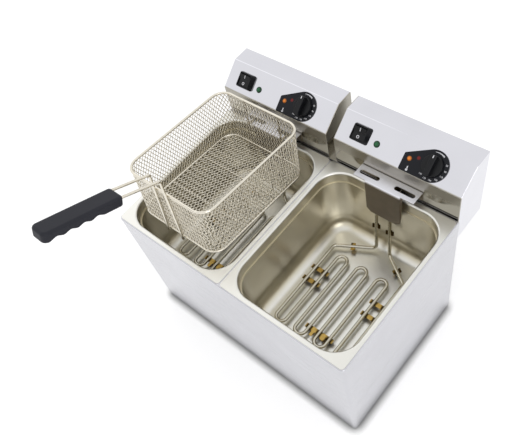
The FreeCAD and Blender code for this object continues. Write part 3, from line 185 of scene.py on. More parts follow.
def start_tree(name, sizes, counts=()):
    """New geometry tree with a geometry input, named sizes and counts, and a geometry output."""
    tree = bpy.data.node_groups.new(name, "GeometryNodeTree")
    tree.interface.new_socket("Geometry", in_out="INPUT", socket_type="NodeSocketGeometry")
    tree.interface.new_socket("Geometry", in_out="OUTPUT", socket_type="NodeSocketGeometry")
    for size in sizes:
        tree.interface.new_socket(size, in_out="INPUT", socket_type="NodeSocketFloat")
    for count in counts:
        tree.interface.new_socket(count, in_out="INPUT", socket_type="NodeSocketInt")
    return tree, add(tree, "NodeGroupInput").outputs


def end_tree(tree, geometry, material):
    """Close a tree: real geometry, smooth faces, one material."""
    real = add(tree, "GeometryNodeRealizeInstances", {0: geometry})
    smooth = add(tree, "GeometryNodeSetShadeSmooth", {"Geometry": real})
    coat = add(tree, "GeometryNodeSetMaterial", {"Geometry": smooth, "Material": material})
    add(tree, "NodeGroupOutput", {0: coat})
    return tree


def run_tree(tree, values, mesh=None):
    """Evaluate a geometry tree with its named inputs and return the result as a plain mesh."""
    holder = new_object("holder", mesh or bpy.data.meshes.new("holder"))
    modifier = holder.modifiers.new("shape", "NODES")
    modifier.node_group = tree
    for item in tree.interface.items_tree:
        if item.in_out == "INPUT" and item.name in values:
            modifier[item.identifier] = values[item.name]
    return taken_mesh(holder)


# Sizes and colours that a user would change

def colour(name, description, code):
    """Colour property with its default as an sRGB hex value."""
    return FloatVectorProperty(name=name, description=description, subtype="COLOR", size=4, min=0, max=1,
                               default=linear(code))


def length(name, description, millimetres):
    """Length property with its default in millimetres."""
    return FloatProperty(name=name, description=description, subtype="DISTANCE", unit="LENGTH",
                         default=millimetres * MM)


def angle(name, description, degrees):
    """Angle property with its default in degrees."""
    return FloatProperty(name=name, description=description, subtype="ANGLE", unit="ROTATION",
                         default=math.radians(degrees))


def location(name, description, place):
    """Place property with its default in metres."""
    return FloatVectorProperty(name=name, description=description, subtype="TRANSLATION", unit="LENGTH",
                               size=3, default=place)


def watts(name, description, amount):
    """Lamp power property with its default in watts."""
    return FloatProperty(name=name, description=description, unit="POWER", default=amount)


class FryerColours(bpy.types.PropertyGroup):
    """Colours of the finishes"""
    sheet: colour("Sheet", "Satin steel of the casing", "#d6d6db")
    head: colour("Head", "Bright steel of heads and hangers", "#e3e3e9")
    # Painted shade: darker tint of a head's front wall and of its side by the other head
    film_and_shade: colour("Shaded front wall", "Front wall of a head and its side by the other head, in painted shade", "#aaa69c")
    tank: colour("Tank", "Drawn steel of flange and floor", "#e4e3dd")
    wall: colour("Tank wall", "Drawn steel under a thin film of oil", "#d6cfbb")
    skirt: colour("Skirt", "Hanger steel browned by hot oil", "#8a8072")
    wire: colour("Wire", "Nickel plate of the basket", "#ede7d9")
    # Painted shade: the rear hooks are tinted darker than the other wires
    hook: colour("Hook", "Nickel plate of the rear hooks, darkened as painted shade", "#9a8f7c")
    element: colour("Element", "Sheath of the heating tube", "#cac6b9")
    brass: colour("Brass", "Clips and nuts on the element", "#c2a25a")
    # Burnt crust with painted contact shade beside the hot tubes
    burnt_and_shaded: colour("Burnt oil and shade", "Burnt crust and painted shade on the clips beside the hot tubes", "#47381d")
    grip: colour("Grip", "Moulded handle grip", "#26272f")
    black: colour("Black", "Knobs and switches", "#0b0c10")
    plate: colour("Plate", "Dial plate", "#0f1119")
    print: colour("Print", "Marks on dials and switches", "#dcdce0")
    green: colour("Green lens", "Power lamp", "#2a6b44")
    amber: colour("Amber lens", "Heat lamp", "#ec8830")
    red: colour("Red lens", "Small lens beside the heat lamp", "#8a1616")
    zinc: colour("Zinc", "Plated screws", "#c4c6ca")
    rubber: colour("Rubber", "Feet", "#1b1b1c")
    melamine: colour("Melamine", "Moulded parts inside the heads", "#d9d2c2")
    floor: colour("Floor", "Studio floor", "#f4f4f4")


class FryerBasket(bpy.types.PropertyGroup):
    """Sizes of the basket and its woven mesh"""
    diamond_w: length("Diamond width", "Width of one diamond of the mesh", 7.2)
    diamond_l: length("Diamond length", "Length of one diamond of the mesh", 12.7)
    wire_r: length("Mesh wire radius", "Radius of a mesh wire", 0.7)
    rim_r: length("Rim radius", "Radius of the rim wire", 2.5)
    frame_r: length("Frame radius", "Radius of the bottom frame's wire", 2.0)
    depth: length("Depth", "From the rim's middle line to the frame's", 108)
    corner_r: length("Corner radius", "Round corner of rim and frame", 27)
    gap: length("Gap", "Clear space between the mesh and the thick wires", 0.3)


class FryerElement(bpy.types.PropertyGroup):
    """Sizes of the heating element"""
    tube_r: length("Tube radius", "Radius of the heating tube", 3.5)
    pitch: length("Run pitch", "Distance between neighbouring runs of the tube", 23)
    # Reach of the burnt crust and painted shade on the clips
    crust_and_shade: length("Crust", "How far burnt oil and painted shade reach from a run's middle line", 7)


class FryerDials(bpy.types.PropertyGroup):
    """Sizes of the dials' print and lenses, with X across the panel and Y up it from the dial's centre"""
    number_r: length("Number radius", "Dial centre to the numbers' middles", 23.5)
    number_size: length("Number size", "Type size of the dial's numbers", 3.9)
    bold: length("Bold", "How far the numbers' strokes are thickened on each side", 0.08)
    first_angle: angle("First number", "Angle of the lowest number, from across", 24)
    last_angle: angle("Last number", "Angle of the highest number, from across", -125)
    lowest: IntProperty(name="Lowest", description="Lowest temperature on the dial", default=70)
    step: IntProperty(name="Step", description="Degrees from one number to the next", default=20)
    count: IntProperty(name="Numbers", description="How many numbers the dial has", default=7)
    arc_from: angle("Arc from", "Thin end of the arc before the lowest number", 104)
    arc_to: angle("Arc to", "Thick end of the arc before the lowest number", 60)
    arc_thin: length("Arc's thin end", "Width of the arc where it starts", 0.7)
    arc_thick: length("Arc's thick end", "Width of the arc where it ends", 2.4)
    pointer_r: length("Pointer radius", "Dial centre to the middle of the knob's pointer", 15)
    pointer_w: length("Pointer width", "Width of the knob's pointer", 1.8)
    pointer_h: length("Pointer height", "Length of the knob's pointer", 5)
    bulb_place: location("Thermometer", "Middle of the thermometer sign's bulb", (-0.0386, -0.023, 0))
    bulb_r: length("Bulb radius", "Radius of the bulb", 2.1)
    stem_place: location("Stem", "Middle of the thermometer sign's stem", (-0.0386, -0.0195, 0))
    stem_w: length("Stem width", "Width of the stem", 1.9)
    stem_h: length("Stem height", "Height of the stem", 6)
    red_place: location("Red lens", "Middle of the red lens", (-0.0274, 0.0026, 0))
    red_r: length("Red lens radius", "Radius of the red lens", 3.4)
    red_lit_r: length("Red light", "Radius that the red lamp lights", 4)
    amber_r: length("Amber light", "Radius that the amber lamp lights", 4.6)


class FryerSwitches(bpy.types.PropertyGroup):
    """Sizes of the switches' print and lamps"""
    mark_y: length("Mark place", "Rocker's middle to the middle of each mark", 6.5)
    bar_w: length("Bar width", "Width of the mark for on", 1.5)
    bar_h: length("Bar height", "Height of the mark for on", 6)
    ring_r: length("Ring radius", "Outer radius of the mark for off", 2.9)
    ring_hole: length("Ring hole", "Inner radius of the mark for off", 1.7)
    green_r: length("Green light", "Radius that the green lamp lights", 6)


class FryerScrews(bpy.types.PropertyGroup):
    """Sizes of the screws on the back"""
    head_r: length("Head radius", "Radius of a screw's head", 3.4)
    head_h: length("Head height", "Height of a screw's head", 2.2)
    spread: length("Spread", "Points of one screw lie closer together than this", 20)


class FryerStage(bpy.types.PropertyGroup):
    """Camera, lights and floor"""
    place: location("Camera", "Where the camera stands", (0.5239, -0.3901, 1.2004))
    target: location("Target", "What the camera looks at", (-0.019, -0.0453, 0.25))
    roll: angle("Roll", "How far the camera leans to the right", 20.38)
    lens: FloatProperty(name="Lens", description="Focal length", unit="CAMERA", default=42.1)
    shift: FloatProperty(name="Shift", description="Rise of the picture, in widths", default=0.0626)
    lit: location("Lit place", "What both lights face", (0, 0, 0.25))
    key: watts("Key light", "Power of the large soft light", 2.5)
    key_place: location("Key place", "Where the large soft light hangs", (-1.5, 0.2, 2.2))
    key_size: length("Key size", "Side of the large soft light", 1600)
    fill: watts("Fill light", "Power of the small light on the right", 5)
    fill_place: location("Fill place", "Where the small light hangs", (1.5, -0.7, 1.6))
    fill_size: length("Fill size", "Side of the small light", 800)
    room: FloatProperty(name="Room light", description="Strength of the room's light", default=0.86)
    paper: FloatProperty(name="Paper glow", description="How far the floor is whitened", default=0.28)
    paper_half: length("Paper", "Middle of the floor to its sides", 4000)
    contact: length("Contact shadow", "Width of the dark edge where the fryer stands", 18)


# Metals

def satin_sheet(tint):
    """Stainless sheet with a fine satin brush: a soft mirror with faint long lines, slow waves and smears.

    The brush runs level. Its real lines are under 0.1 mm wide, and they are drawn 1.11 mm wide so
    that they show.
    """
    material, tree, place = start_material("satin_stainless")
    brush = drawn_out(tree, place, mark_mm=(111, 111, 1.11))
    waves, smears = mottled(tree, place, tint, share=0.74, patch_mm=91)
    tone = add(tree, "ShaderNodeMix", {"Factor": brush, "A": darker(tint, 0.9), "B": smears},
               data_type="RGBA")
    gloss = add(tree, "ShaderNodeMapRange", {"Value": brush, "To Min": 0.208, "To Max": 0.312})
    slow = add(tree, "ShaderNodeBump", {"Height": waves, "Strength": 0.3, "Distance": 2 * MM})
    fine = add(tree, "ShaderNodeBump", {
        "Height": brush, "Strength": 0.03, "Distance": 0.2 * MM, "Normal": slow})
    return end_material(material, tone, gloss, {"Metallic": 1.0, "Normal": fine})


def head_steel(tint, film_and_shade, front_y, shelf_z, gap_x):
    """Bright rolled stainless, nearly a mirror, with painted shade on its front wall and on its side by the
    other head.

    The shaded front and sides are rougher, and so duller, from the shelf upwards. Real rolling
    lines are under 0.1 mm wide, and they are drawn 1.43 mm wide so that they show.
    """
    material, tree, place = start_material("bright_stainless")
    here = add(tree, "ShaderNodeSeparateXYZ", {0: place}).outputs
    # Painted shade: the front wall, under the overhanging panel, and the sides that face the other head
    clear_of_front_shade = add(tree, "ShaderNodeMapRange", {
        "Value": here["Y"], "From Min": front_y + 1 * MM, "From Max": front_y + 2 * MM})
    outward = add(tree, "ShaderNodeMath", {0: here["X"]}, operation="ABSOLUTE")
    clear_of_gap_shade = add(tree, "ShaderNodeMapRange", {
        "Value": outward, "From Min": gap_x + 1 * MM, "From Max": gap_x + 2 * MM})
    unstained_unshaded = add(tree, "ShaderNodeMath", {0: clear_of_front_shade, 1: clear_of_gap_shade}, operation="MULTIPLY")
    dull = add(tree, "ShaderNodeMapRange", {
        "Value": here["Z"], "From Min": shelf_z, "From Max": shelf_z + 12 * MM,
        "To Min": 0.1, "To Max": 0.36})
    brush = drawn_out(tree, place, mark_mm=(167, 1.43, 1.43))
    smears = mottled(tree, place, tint, share=0.84, patch_mm=71.4)[1]
    sheet = add(tree, "ShaderNodeMix", {"Factor": brush, "A": darker(tint, 0.93), "B": smears},
                data_type="RGBA")
    # The darker tint is painted shade wherever either mask is nought
    tone = add(tree, "ShaderNodeMix", {"Factor": unstained_unshaded, "A": film_and_shade, "B": sheet}, data_type="RGBA")
    gloss = add(tree, "ShaderNodeMix", {"Factor": unstained_unshaded, "A": dull, "B": 0.1})
    return end_material(material, tone, gloss, {"Metallic": 1.0})


def hanger_steel(tint, browned, shelf_z):
    """Satin stainless shelf whose skirt below is browned, stained and dulled by hot oil."""
    material, tree, place = start_material("oil_browned_stainless")
    height = add(tree, "ShaderNodeSeparateXYZ", {0: place}).outputs["Z"]
    unstained_unshaded = add(tree, "ShaderNodeMapRange", {
        "Value": height, "From Min": shelf_z - 6 * MM, "From Max": shelf_z - 2 * MM})
    skirt = mottled(tree, place, browned, share=0.7, patch_mm=22.2, detail=3.0)[1]
    tone = add(tree, "ShaderNodeMix", {"Factor": unstained_unshaded, "A": skirt, "B": tint}, data_type="RGBA")
    gloss = add(tree, "ShaderNodeMapRange", {"Value": unstained_unshaded, "To Min": 0.5, "To Max": 0.38})
    return end_material(material, tone, gloss, {"Metallic": 1.0})


def drawn_steel(tint, film_and_shade, floor_z, flange_z):
    """Deep-drawn stainless: pale flange and floor, walls with upright marks and a brown film of oil."""
    material, tree, place = start_material("deep_drawn_stainless")
    height = add(tree, "ShaderNodeSeparateXYZ", {0: place}).outputs["Z"]
    off_floor = add(tree, "ShaderNodeMapRange", {
        "Value": height, "From Min": floor_z + 2 * MM, "From Max": floor_z + 7 * MM})
    on_flange = add(tree, "ShaderNodeMapRange", {
        "Value": height, "From Min": flange_z - 6 * MM, "From Max": flange_z - 1 * MM})
    streaks = drawn_out(tree, place, mark_mm=(9.1, 9.1, 200), detail=4.0)
    film = mottled(tree, place, film_and_shade, share=0.8, patch_mm=71.4)[1]
    inside = add(tree, "ShaderNodeMix", {"Factor": off_floor, "A": tint, "B": film}, data_type="RGBA")
    tone = add(tree, "ShaderNodeMix", {"Factor": on_flange, "A": inside, "B": tint}, data_type="RGBA")
    gloss = add(tree, "ShaderNodeMapRange", {"Value": streaks, "To Min": 0.27, "To Max": 0.37})
    bump = add(tree, "ShaderNodeBump", {"Height": streaks, "Strength": 0.02, "Distance": 0.3 * MM})
    return end_material(material, tone, gloss, {"Metallic": 1.0, "Normal": bump})


def bright_wire(name, tint, rough):
    """Drawn wire or tube, bright plated: clear highlights with small blotches from the bath."""
    material, tree, place = start_material(name)
    blotch, tone = mottled(tree, place, tint, share=0.8, patch_mm=5.56, detail=3.0)
    gloss = add(tree, "ShaderNodeMapRange", {"Value": blotch, "To Min": rough * 0.7, "To Max": rough * 1.4})
    return end_material(material, tone, gloss, {"Metallic": 1.0})


def clip_brass(tint, crust_and_shade, sizes, first_run, low_z):
    """Stamped brass: yellow metal, dark in a ragged band beside each hot run, as burnt-oil crust with
    painted contact shade, and dark all over on the legs.
    """
    material, tree, place = start_material("burnt_and_shaded_brass")
    here = add(tree, "ShaderNodeSeparateXYZ", {0: place}).outputs
    outward = add(tree, "ShaderNodeMath", {0: here["X"]}, operation="ABSOLUTE")
    from_first = add(tree, "ShaderNodeMath", {0: outward, 1: first_run}, operation="SUBTRACT")
    from_run = add(tree, "ShaderNodeMath", {0: from_first, 1: sizes.pitch / 2}, operation="PINGPONG")
    patch, worn = mottled(tree, place, tint, share=0.55, patch_mm=3.85, detail=4.0)
    ragged = add(tree, "ShaderNodeMath", {0: patch, 1: 4 * MM, 2: from_run}, operation="MULTIPLY_ADD")
    # Painted contact shade and burnt crust in a band beside each run
    clear_of_crust_and_shade = add(tree, "ShaderNodeMapRange", {
        "Value": ragged, "From Min": sizes.crust_and_shade, "From Max": sizes.crust_and_shade + 3 * MM})
    on_floor = add(tree, "ShaderNodeMapRange", {
        "Value": here["Z"], "From Min": low_z + 20 * MM, "From Max": low_z + 15 * MM})
    unstained_unshaded = add(tree, "ShaderNodeMath", {0: clear_of_crust_and_shade, 1: on_floor}, operation="MULTIPLY")
    tone = add(tree, "ShaderNodeMix", {"Factor": unstained_unshaded, "A": crust_and_shade, "B": worn}, data_type="RGBA")
    gloss = add(tree, "ShaderNodeMapRange", {"Value": unstained_unshaded, "To Min": 0.6, "To Max": 0.24})
    return end_material(material, tone, gloss, {"Metallic": 1.0})


# Plastics, rubber and print

def moulded_plastic(name, tint, rough, grit_mm, shine):
    """Injection-moulded plastic with a spark-eroded grain of the given grit size and a weak shine."""
    material, tree, place = start_material(name)
    grit = add(tree, "ShaderNodeTexNoise", {"Vector": place, "Scale": per(grit_mm), "Detail": 2.0})
    tone = mottled(tree, place, tint, share=0.85, patch_mm=25)[1]
    gloss = add(tree, "ShaderNodeMapRange", {"Value": grit, "To Min": rough * 0.85, "To Max": rough * 1.15})
    bump = add(tree, "ShaderNodeBump", {"Height": grit, "Strength": 0.12, "Distance": 0.1 * MM})
    return end_material(material, tone, gloss, {"IOR": 1.5, "Specular IOR Level": shine, "Normal": bump})


def clear_lens(name, tint, middle, r, glow):
    """Tinted polycarbonate lens over a small lamp: bright in its middle and deep at its edge."""
    material, tree, place = start_material(name)
    inside = add(tree, "ShaderNodeMapping", {"Vector": place, "Location": middle, "Scale": (r, r, r)},
                 vector_type="TEXTURE")
    bulb = add(tree, "ShaderNodeTexGradient", {"Vector": inside}, gradient_type="SPHERICAL")
    tone = add(tree, "ShaderNodeMix", {"Factor": bulb, "A": darker(tint, 0.2), "B": tint}, data_type="RGBA")
    return end_material(material, tone, 0.2, {
        "IOR": 1.58, "Specular IOR Level": 0.25, "Emission Color": tone, "Emission Strength": glow})


def printed_ink(tint):
    """Screen-printed ink: matt white with a faintly uneven film.

    Real specks are about 0.1 mm wide, and they are drawn 0.667 mm wide so that they show.
    """
    material, tree, place = start_material("screen_print")
    tone = mottled(tree, place, tint, share=0.85, patch_mm=0.667)[1]
    return end_material(material, tone, 0.55, {"IOR": 1.5})


# Casing, tanks and heads

class FRYER_OT_casing(bpy.types.Operator):
    """Finish the folded casing, what is fixed to it and the heads' covers of the same sheet"""
    bl_idname = "fryer.casing"
    bl_label = "Casing"

    def execute(self, context):
        finish(satin_sheet(context.scene.fryer_colours.sheet), "casing_wrap", "casing_rear", "rear_rail",
               "base_plate", "centre_bar", "head_brackets", *pairs("head_cover"))
        return {"FINISHED"}


class FRYER_OT_tanks(bpy.types.Operator):
    """Finish the drawn tanks"""
    bl_idname = "fryer.tanks"
    bl_label = "Tanks"

    def execute(self, context):
        colours = context.scene.fryer_colours
        for side in SIDES:
            low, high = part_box(f"tank_{side}")
            finish(drawn_steel(colours.tank, colours.wall, low.z, high.z), f"tank_{side}")
        return {"FINISHED"}


class FRYER_OT_heads(bpy.types.Operator):
    """Finish the control heads and the basket hangers"""
    bl_idname = "fryer.heads"
    bl_label = "Heads"

    def execute(self, context):
        colours = context.scene.fryer_colours
        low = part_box("head_shell_right")[0]
        shelf_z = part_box("basket_hanger_right")[1].z
        # The heads' front walls and facing sides get painted shade
        shell = head_steel(colours.head, colours.film_and_shade, low.y, shelf_z, low.x)
        finish(shell, *pairs("head_shell"))
        finish(hanger_steel(colours.head, colours.skirt, shelf_z), *pairs("basket_hanger"))
        return {"FINISHED"}


class FRYER_OT_elements(bpy.types.Operator):
    """Finish the heating elements with their nuts, clips and sensor rods"""
    bl_idname = "fryer.elements"
    bl_label = "Heating elements"

    def execute(self, context):
        colours = context.scene.fryer_colours
        sizes = context.scene.fryer_element
        tube = bright_wire("bright_stainless_tube", colours.element, rough=0.13)
        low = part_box("heating_element_right")[0]
        # The clips get burnt crust and painted contact shade beside the runs
        brass = clip_brass(colours.brass, colours.burnt_and_shaded, sizes, low.x + sizes.tube_r, low.z)
        finish(tube, *pairs("heating_element", "sensor_bulbs", "thermostat_shaft"))
        finish(brass, *pairs("element_nuts", "element_clips"))
        return {"FINISHED"}


# Printed marks

def panel_frame(side):
    """Place of a sloped panel with the dial's centre as origin: X across, Y up the slope, Z out."""
    joint = JOINTS[f"knob_{side}_turn"]
    out = -Vector(joint["axis"]).normalized()
    across = Vector((1, 0, 0))
    matrix = Matrix((across, out.cross(across), out)).transposed().to_4x4()
    matrix.translation = Vector(joint["pos_m"])
    return matrix


def face_middle(node, place):
    """Middle of the outermost face of a CAD node on a panel."""
    out = place.to_3x3().col[2]
    corners = [vertex.co for vertex in NODES[node].data.vertices]
    reach = max(corner.dot(out) for corner in corners)
    front = [corner for corner in corners if corner.dot(out) > reach - HAIR]
    return sum(front, Vector()) / len(front)


def lay_on(mesh, node, place):
    """Move a flat mesh to a place, drop it on a CAD node there and leave it a hair proud."""
    mesh.transform(place)
    out = place.to_3x3().col[2].normalized()
    source = NODES[node].data
    tree = BVHTree.FromPolygons([v.co for v in source.vertices], [p.vertices for p in source.polygons])
    above = 50 * MM
    for vertex in mesh.vertices:
        hit = tree.ray_cast(vertex.co + out * above, -out)[0]
        if hit is None:
            raise RuntimeError(f"a mark misses {node}")
        vertex.co = hit + out * HAIR
    return mesh


def mesh_of(shape):
    """Plain mesh from a bmesh, its faces turned one way."""
    made = bpy.data.meshes.new("shape")
    bmesh.ops.recalc_face_normals(shape, faces=shape.faces)
    shape.to_mesh(made)
    shape.free()
    return made


def text_mesh(words, size, bold):
    """Flat mesh of a short text, centred on its own middle."""
    curve = bpy.data.curves.new("text", "FONT")
    curve.body = words
    curve.size = size
    curve.align_x = "CENTER"
    curve.align_y = "CENTER"
    curve.offset = bold
    return taken_mesh(new_object("text", curve))


def arc_band(r, width_from, width_to, start, stop):
    """Flat band along an arc whose width grows from one end to the other."""
    mesh = bmesh.new()
    rows = []
    for i in range(PRINT_STEPS + 1):
        share = i / PRINT_STEPS
        turn = start + (stop - start) * share
        half = (width_from + (width_to - width_from) * share) / 2
        along = Vector((math.cos(turn), math.sin(turn), 0))
        rows.append([mesh.verts.new(along * (r - half)), mesh.verts.new(along * (r + half))])
    for near, far in zip(rows, rows[1:]):
        mesh.faces.new((near[0], near[1], far[1], far[0]))
    return mesh_of(mesh)


def flat_ring(r, hole):
    """Flat ring with a round hole."""
    return arc_band((r + hole) / 2, r - hole, r - hole, 0, 2 * math.pi)


def flat_disc(r):
    """Flat round spot."""
    mesh = bmesh.new()
    bmesh.ops.create_circle(mesh, cap_ends=True, segments=PRINT_STEPS, radius=r)
    return mesh_of(mesh)


def flat_bar(width, height):
    """Flat upright bar, in a few steps so that it can follow a curved face."""
    mesh = bmesh.new()
    bmesh.ops.create_grid(mesh, x_segments=1, y_segments=4, size=0.5)
    bmesh.ops.scale(mesh, vec=(width, height, 1), verts=mesh.verts)
    return mesh_of(mesh)


def joined(parts):
    """One mesh from flat parts, each with its place in the plane."""
    mesh = bmesh.new()
    for part, place in parts:
        part.transform(Matrix.Translation(place))
        mesh.from_mesh(part)
    return mesh_of(mesh)


def dial_marks(sizes):
    """Numbers round the dial, the swelling arc before them and a thermometer sign at the tip."""
    swell = arc_band(sizes.number_r, sizes.arc_thin, sizes.arc_thick, sizes.arc_from, sizes.arc_to)
    parts = [(swell, (0, 0, 0)), (flat_disc(sizes.bulb_r), sizes.bulb_place),
             (flat_bar(sizes.stem_w, sizes.stem_h), sizes.stem_place)]
    for i in range(sizes.count):
        turn = sizes.first_angle + (sizes.last_angle - sizes.first_angle) * i / (sizes.count - 1)
        number = text_mesh(str(sizes.lowest + i * sizes.step), sizes.number_size, sizes.bold)
        parts.append((number, sizes.number_r * Vector((math.cos(turn), math.sin(turn), 0))))
    return joined(parts)


class FRYER_OT_dials(bpy.types.Operator):
    """Finish the dial plates, knobs and heat lamps, and print the dials"""
    bl_idname = "fryer.dials"
    bl_label = "Dials"

    def execute(self, context):
        colours = context.scene.fryer_colours
        sizes = context.scene.fryer_dials
        plate = moulded_plastic("gloss_polycarbonate_plate", colours.plate, rough=0.25, grit_mm=0.5,
                                shine=0.25)
        finish(plate, *pairs("dial_plate"))
        knob = moulded_plastic("moulded_phenolic_knob", colours.black, rough=0.4, grit_mm=0.5, shine=0.3)
        finish(knob, *pairs("knob"))
        ink = printed_ink(colours.print)
        for side in SIDES:
            place = panel_frame(side)
            lamp = f"heat_lamp_{side}"
            middle = face_middle(lamp, place)
            finish(clear_lens("amber_polycarbonate", colours.amber, middle, sizes.amber_r, glow=0.3), lamp)
            marks = lay_on(dial_marks(sizes), f"dial_plate_{side}", place)
            add_piece(f"dial_print_{side}", marks, ink, f"head_{side}", "black_plate")
            red_place = place @ Matrix.Translation(sizes.red_place)
            spot = lay_on(flat_disc(sizes.red_r), f"dial_plate_{side}", red_place)
            red = clear_lens("red_polycarbonate", colours.red, red_place.translation, sizes.red_lit_r,
                             glow=0.3)
            add_piece(f"red_lens_{side}", spot, red, f"head_{side}", "amber_lens")
            bar = flat_bar(sizes.pointer_w, sizes.pointer_h)
            pointer = lay_on(bar, f"knob_{side}", place @ Matrix.Translation((0, sizes.pointer_r, 0)))
            add_piece(f"knob_pointer_{side}", pointer, ink, f"knob_{side}", "black_plastic")
        return {"FINISHED"}


class FRYER_OT_switches(bpy.types.Operator):
    """Finish the rocker switches and power lamps, and print the rockers"""
    bl_idname = "fryer.switches"
    bl_label = "Switches"

    def execute(self, context):
        colours = context.scene.fryer_colours
        sizes = context.scene.fryer_switches
        black = moulded_plastic("gloss_polyamide_switch", colours.black, rough=0.3, grit_mm=0.5, shine=0.3)
        finish(black, *pairs("switch_body", "rocker"))
        ink = printed_ink(colours.print)
        for side in SIDES:
            place = panel_frame(side)
            lamp = f"power_lamp_{side}"
            middle = face_middle(lamp, place)
            finish(clear_lens("green_polycarbonate", colours.green, middle, sizes.green_r, glow=0.1), lamp)
            place.translation = Vector(JOINTS[f"rocker_{side}_press"]["pos_m"])
            on_mark = flat_bar(sizes.bar_w, sizes.bar_h)
            off_mark = flat_ring(sizes.ring_r, sizes.ring_hole)
            signs = joined([(on_mark, (0, sizes.mark_y, 0)), (off_mark, (0, -sizes.mark_y, 0))])
            add_piece(f"switch_print_{side}", lay_on(signs, f"rocker_{side}", place), ink,
                      f"rocker_{side}", "black_plastic")
        return {"FINISHED"}


# Woven basket mesh

def basket_place(sizes):
    """Tilted frame of the basket with the rim's middle as origin, and the rim's width and length."""
    low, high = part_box("basket_rim")
    run = high.y - low.y - 2 * sizes.rim_r
    rise = high.z - low.z - 2 * sizes.rim_r
    matrix = Matrix.Rotation(-math.atan2(rise, run), 4, "X")
    matrix.translation = (low + high) / 2
    return matrix, high.x - low.x - 2 * sizes.rim_r, math.hypot(run, rise)


def mesh_grid(tree, size):
    """Grid with a column for each wire and some rows for each crossing: its wire and crossing numbers."""
    rows = add(tree, "ShaderNodeMath", {0: size["Crossings"], 1: ROWS_PER_CROSSING, 2: 1.0},
               operation="MULTIPLY_ADD")
    grid = add(tree, "GeometryNodeMeshGrid", {"Vertices X": size["Wires"], "Vertices Y": rows})
    share = add(tree, "ShaderNodeSeparateXYZ", {0: grid.outputs["UV Map"]}).outputs
    last = add(tree, "ShaderNodeMath", {0: size["Wires"], 1: 1.0}, operation="SUBTRACT")
    wire = add(tree, "ShaderNodeMath", {0: share["X"], 1: last}, operation="MULTIPLY")
    crossing = add(tree, "ShaderNodeMath", {0: share["Y"], 1: size["Crossings"]}, operation="MULTIPLY")
    return grid, wire, crossing, share["Y"]


def wire_set(tree, grid, spots, out, crossing, radius, side, inside):
    """Wires along the grid's columns that bend out and in by turns from crossing to crossing.

    The grid's points are numbered up its columns, so the ends of an edge along a column differ by one.
    """
    reach = add(tree, "ShaderNodeMath", {0: radius, 1: side}, operation="MULTIPLY")
    turn = add(tree, "ShaderNodeMath", {0: crossing, 1: math.pi}, operation="MULTIPLY")
    swing = add(tree, "ShaderNodeMath", {0: turn}, operation="COSINE")
    bend = add(tree, "ShaderNodeMath", {0: swing, 1: reach}, operation="MULTIPLY")
    offset = add(tree, "ShaderNodeVectorMath", {0: out, "Scale": bend.outputs[0]}, operation="SCALE")
    bent = add(tree, "GeometryNodeSetPosition", {"Geometry": grid, "Position": spots, "Offset": offset})
    ends = add(tree, "GeometryNodeInputMeshEdgeVertices").outputs
    column = add(tree, "ShaderNodeMath", {0: ends[0], 1: ends[1], 2: 1.5}, operation="COMPARE")
    chosen = add(tree, "ShaderNodeMath", {0: column, 1: inside}, operation="MULTIPLY")
    line = add(tree, "GeometryNodeMeshToCurve", {"Mesh": bent, "Selection": chosen})
    section = add(tree, "GeometryNodeCurvePrimitiveCircle", {"Resolution": WIRE_SIDES, "Radius": radius})
    return add(tree, "GeometryNodeCurveToMesh", {
        "Curve": line, "Profile Curve": section, "Fill Caps": True})


def wall_tree(material):
    """Mesh round the basket's walls: two sets of wires that lean either way round a rounded rectangle."""
    tree, size = start_tree("woven_walls", ("Width", "Length", "Height", "Corner", "Wire radius"),
                            ("Wires", "Crossings"))
    outline = add(tree, "GeometryNodeCurvePrimitiveQuadrilateral", {
        "Width": size["Width"], "Height": size["Length"]})
    rounded = add(tree, "GeometryNodeFilletCurve", {
        "Curve": outline, "Radius": size["Corner"], "Count": CORNER_STEPS}, mode="POLY")
    grid, wire, crossing, along = mesh_grid(tree, size)
    drop = add(tree, "ShaderNodeMath", {0: along, 1: size["Height"]}, operation="MULTIPLY")
    down = add(tree, "ShaderNodeVectorMath", {0: (0, 0, -1), "Scale": drop.outputs[0]}, operation="SCALE")
    both = add(tree, "GeometryNodeJoinGeometry")
    for side in (-1.0, 1.0):
        leaned = add(tree, "ShaderNodeMath", {0: crossing, 1: side / 2, 2: wire}, operation="MULTIPLY_ADD")
        turns = add(tree, "ShaderNodeMath", {0: leaned, 1: size["Wires"]}, operation="DIVIDE")
        share = add(tree, "ShaderNodeMath", {0: turns}, operation="FRACT")
        spot = add(tree, "GeometryNodeSampleCurve", {"Curves": rounded, "Factor": share},
                   mode="FACTOR").outputs
        spots = add(tree, "ShaderNodeVectorMath", {0: spot["Position"], 1: down}, operation="ADD")
        out = add(tree, "ShaderNodeVectorMath", {0: spot["Tangent"], 1: (0, 0, 1)},
                  operation="CROSS_PRODUCT")
        wires = wire_set(tree, grid, spots, out, crossing, size["Wire radius"], side, 1.0)
        tree.links.new(wires.outputs[0], both.inputs[0])
    return end_tree(tree, both, material)


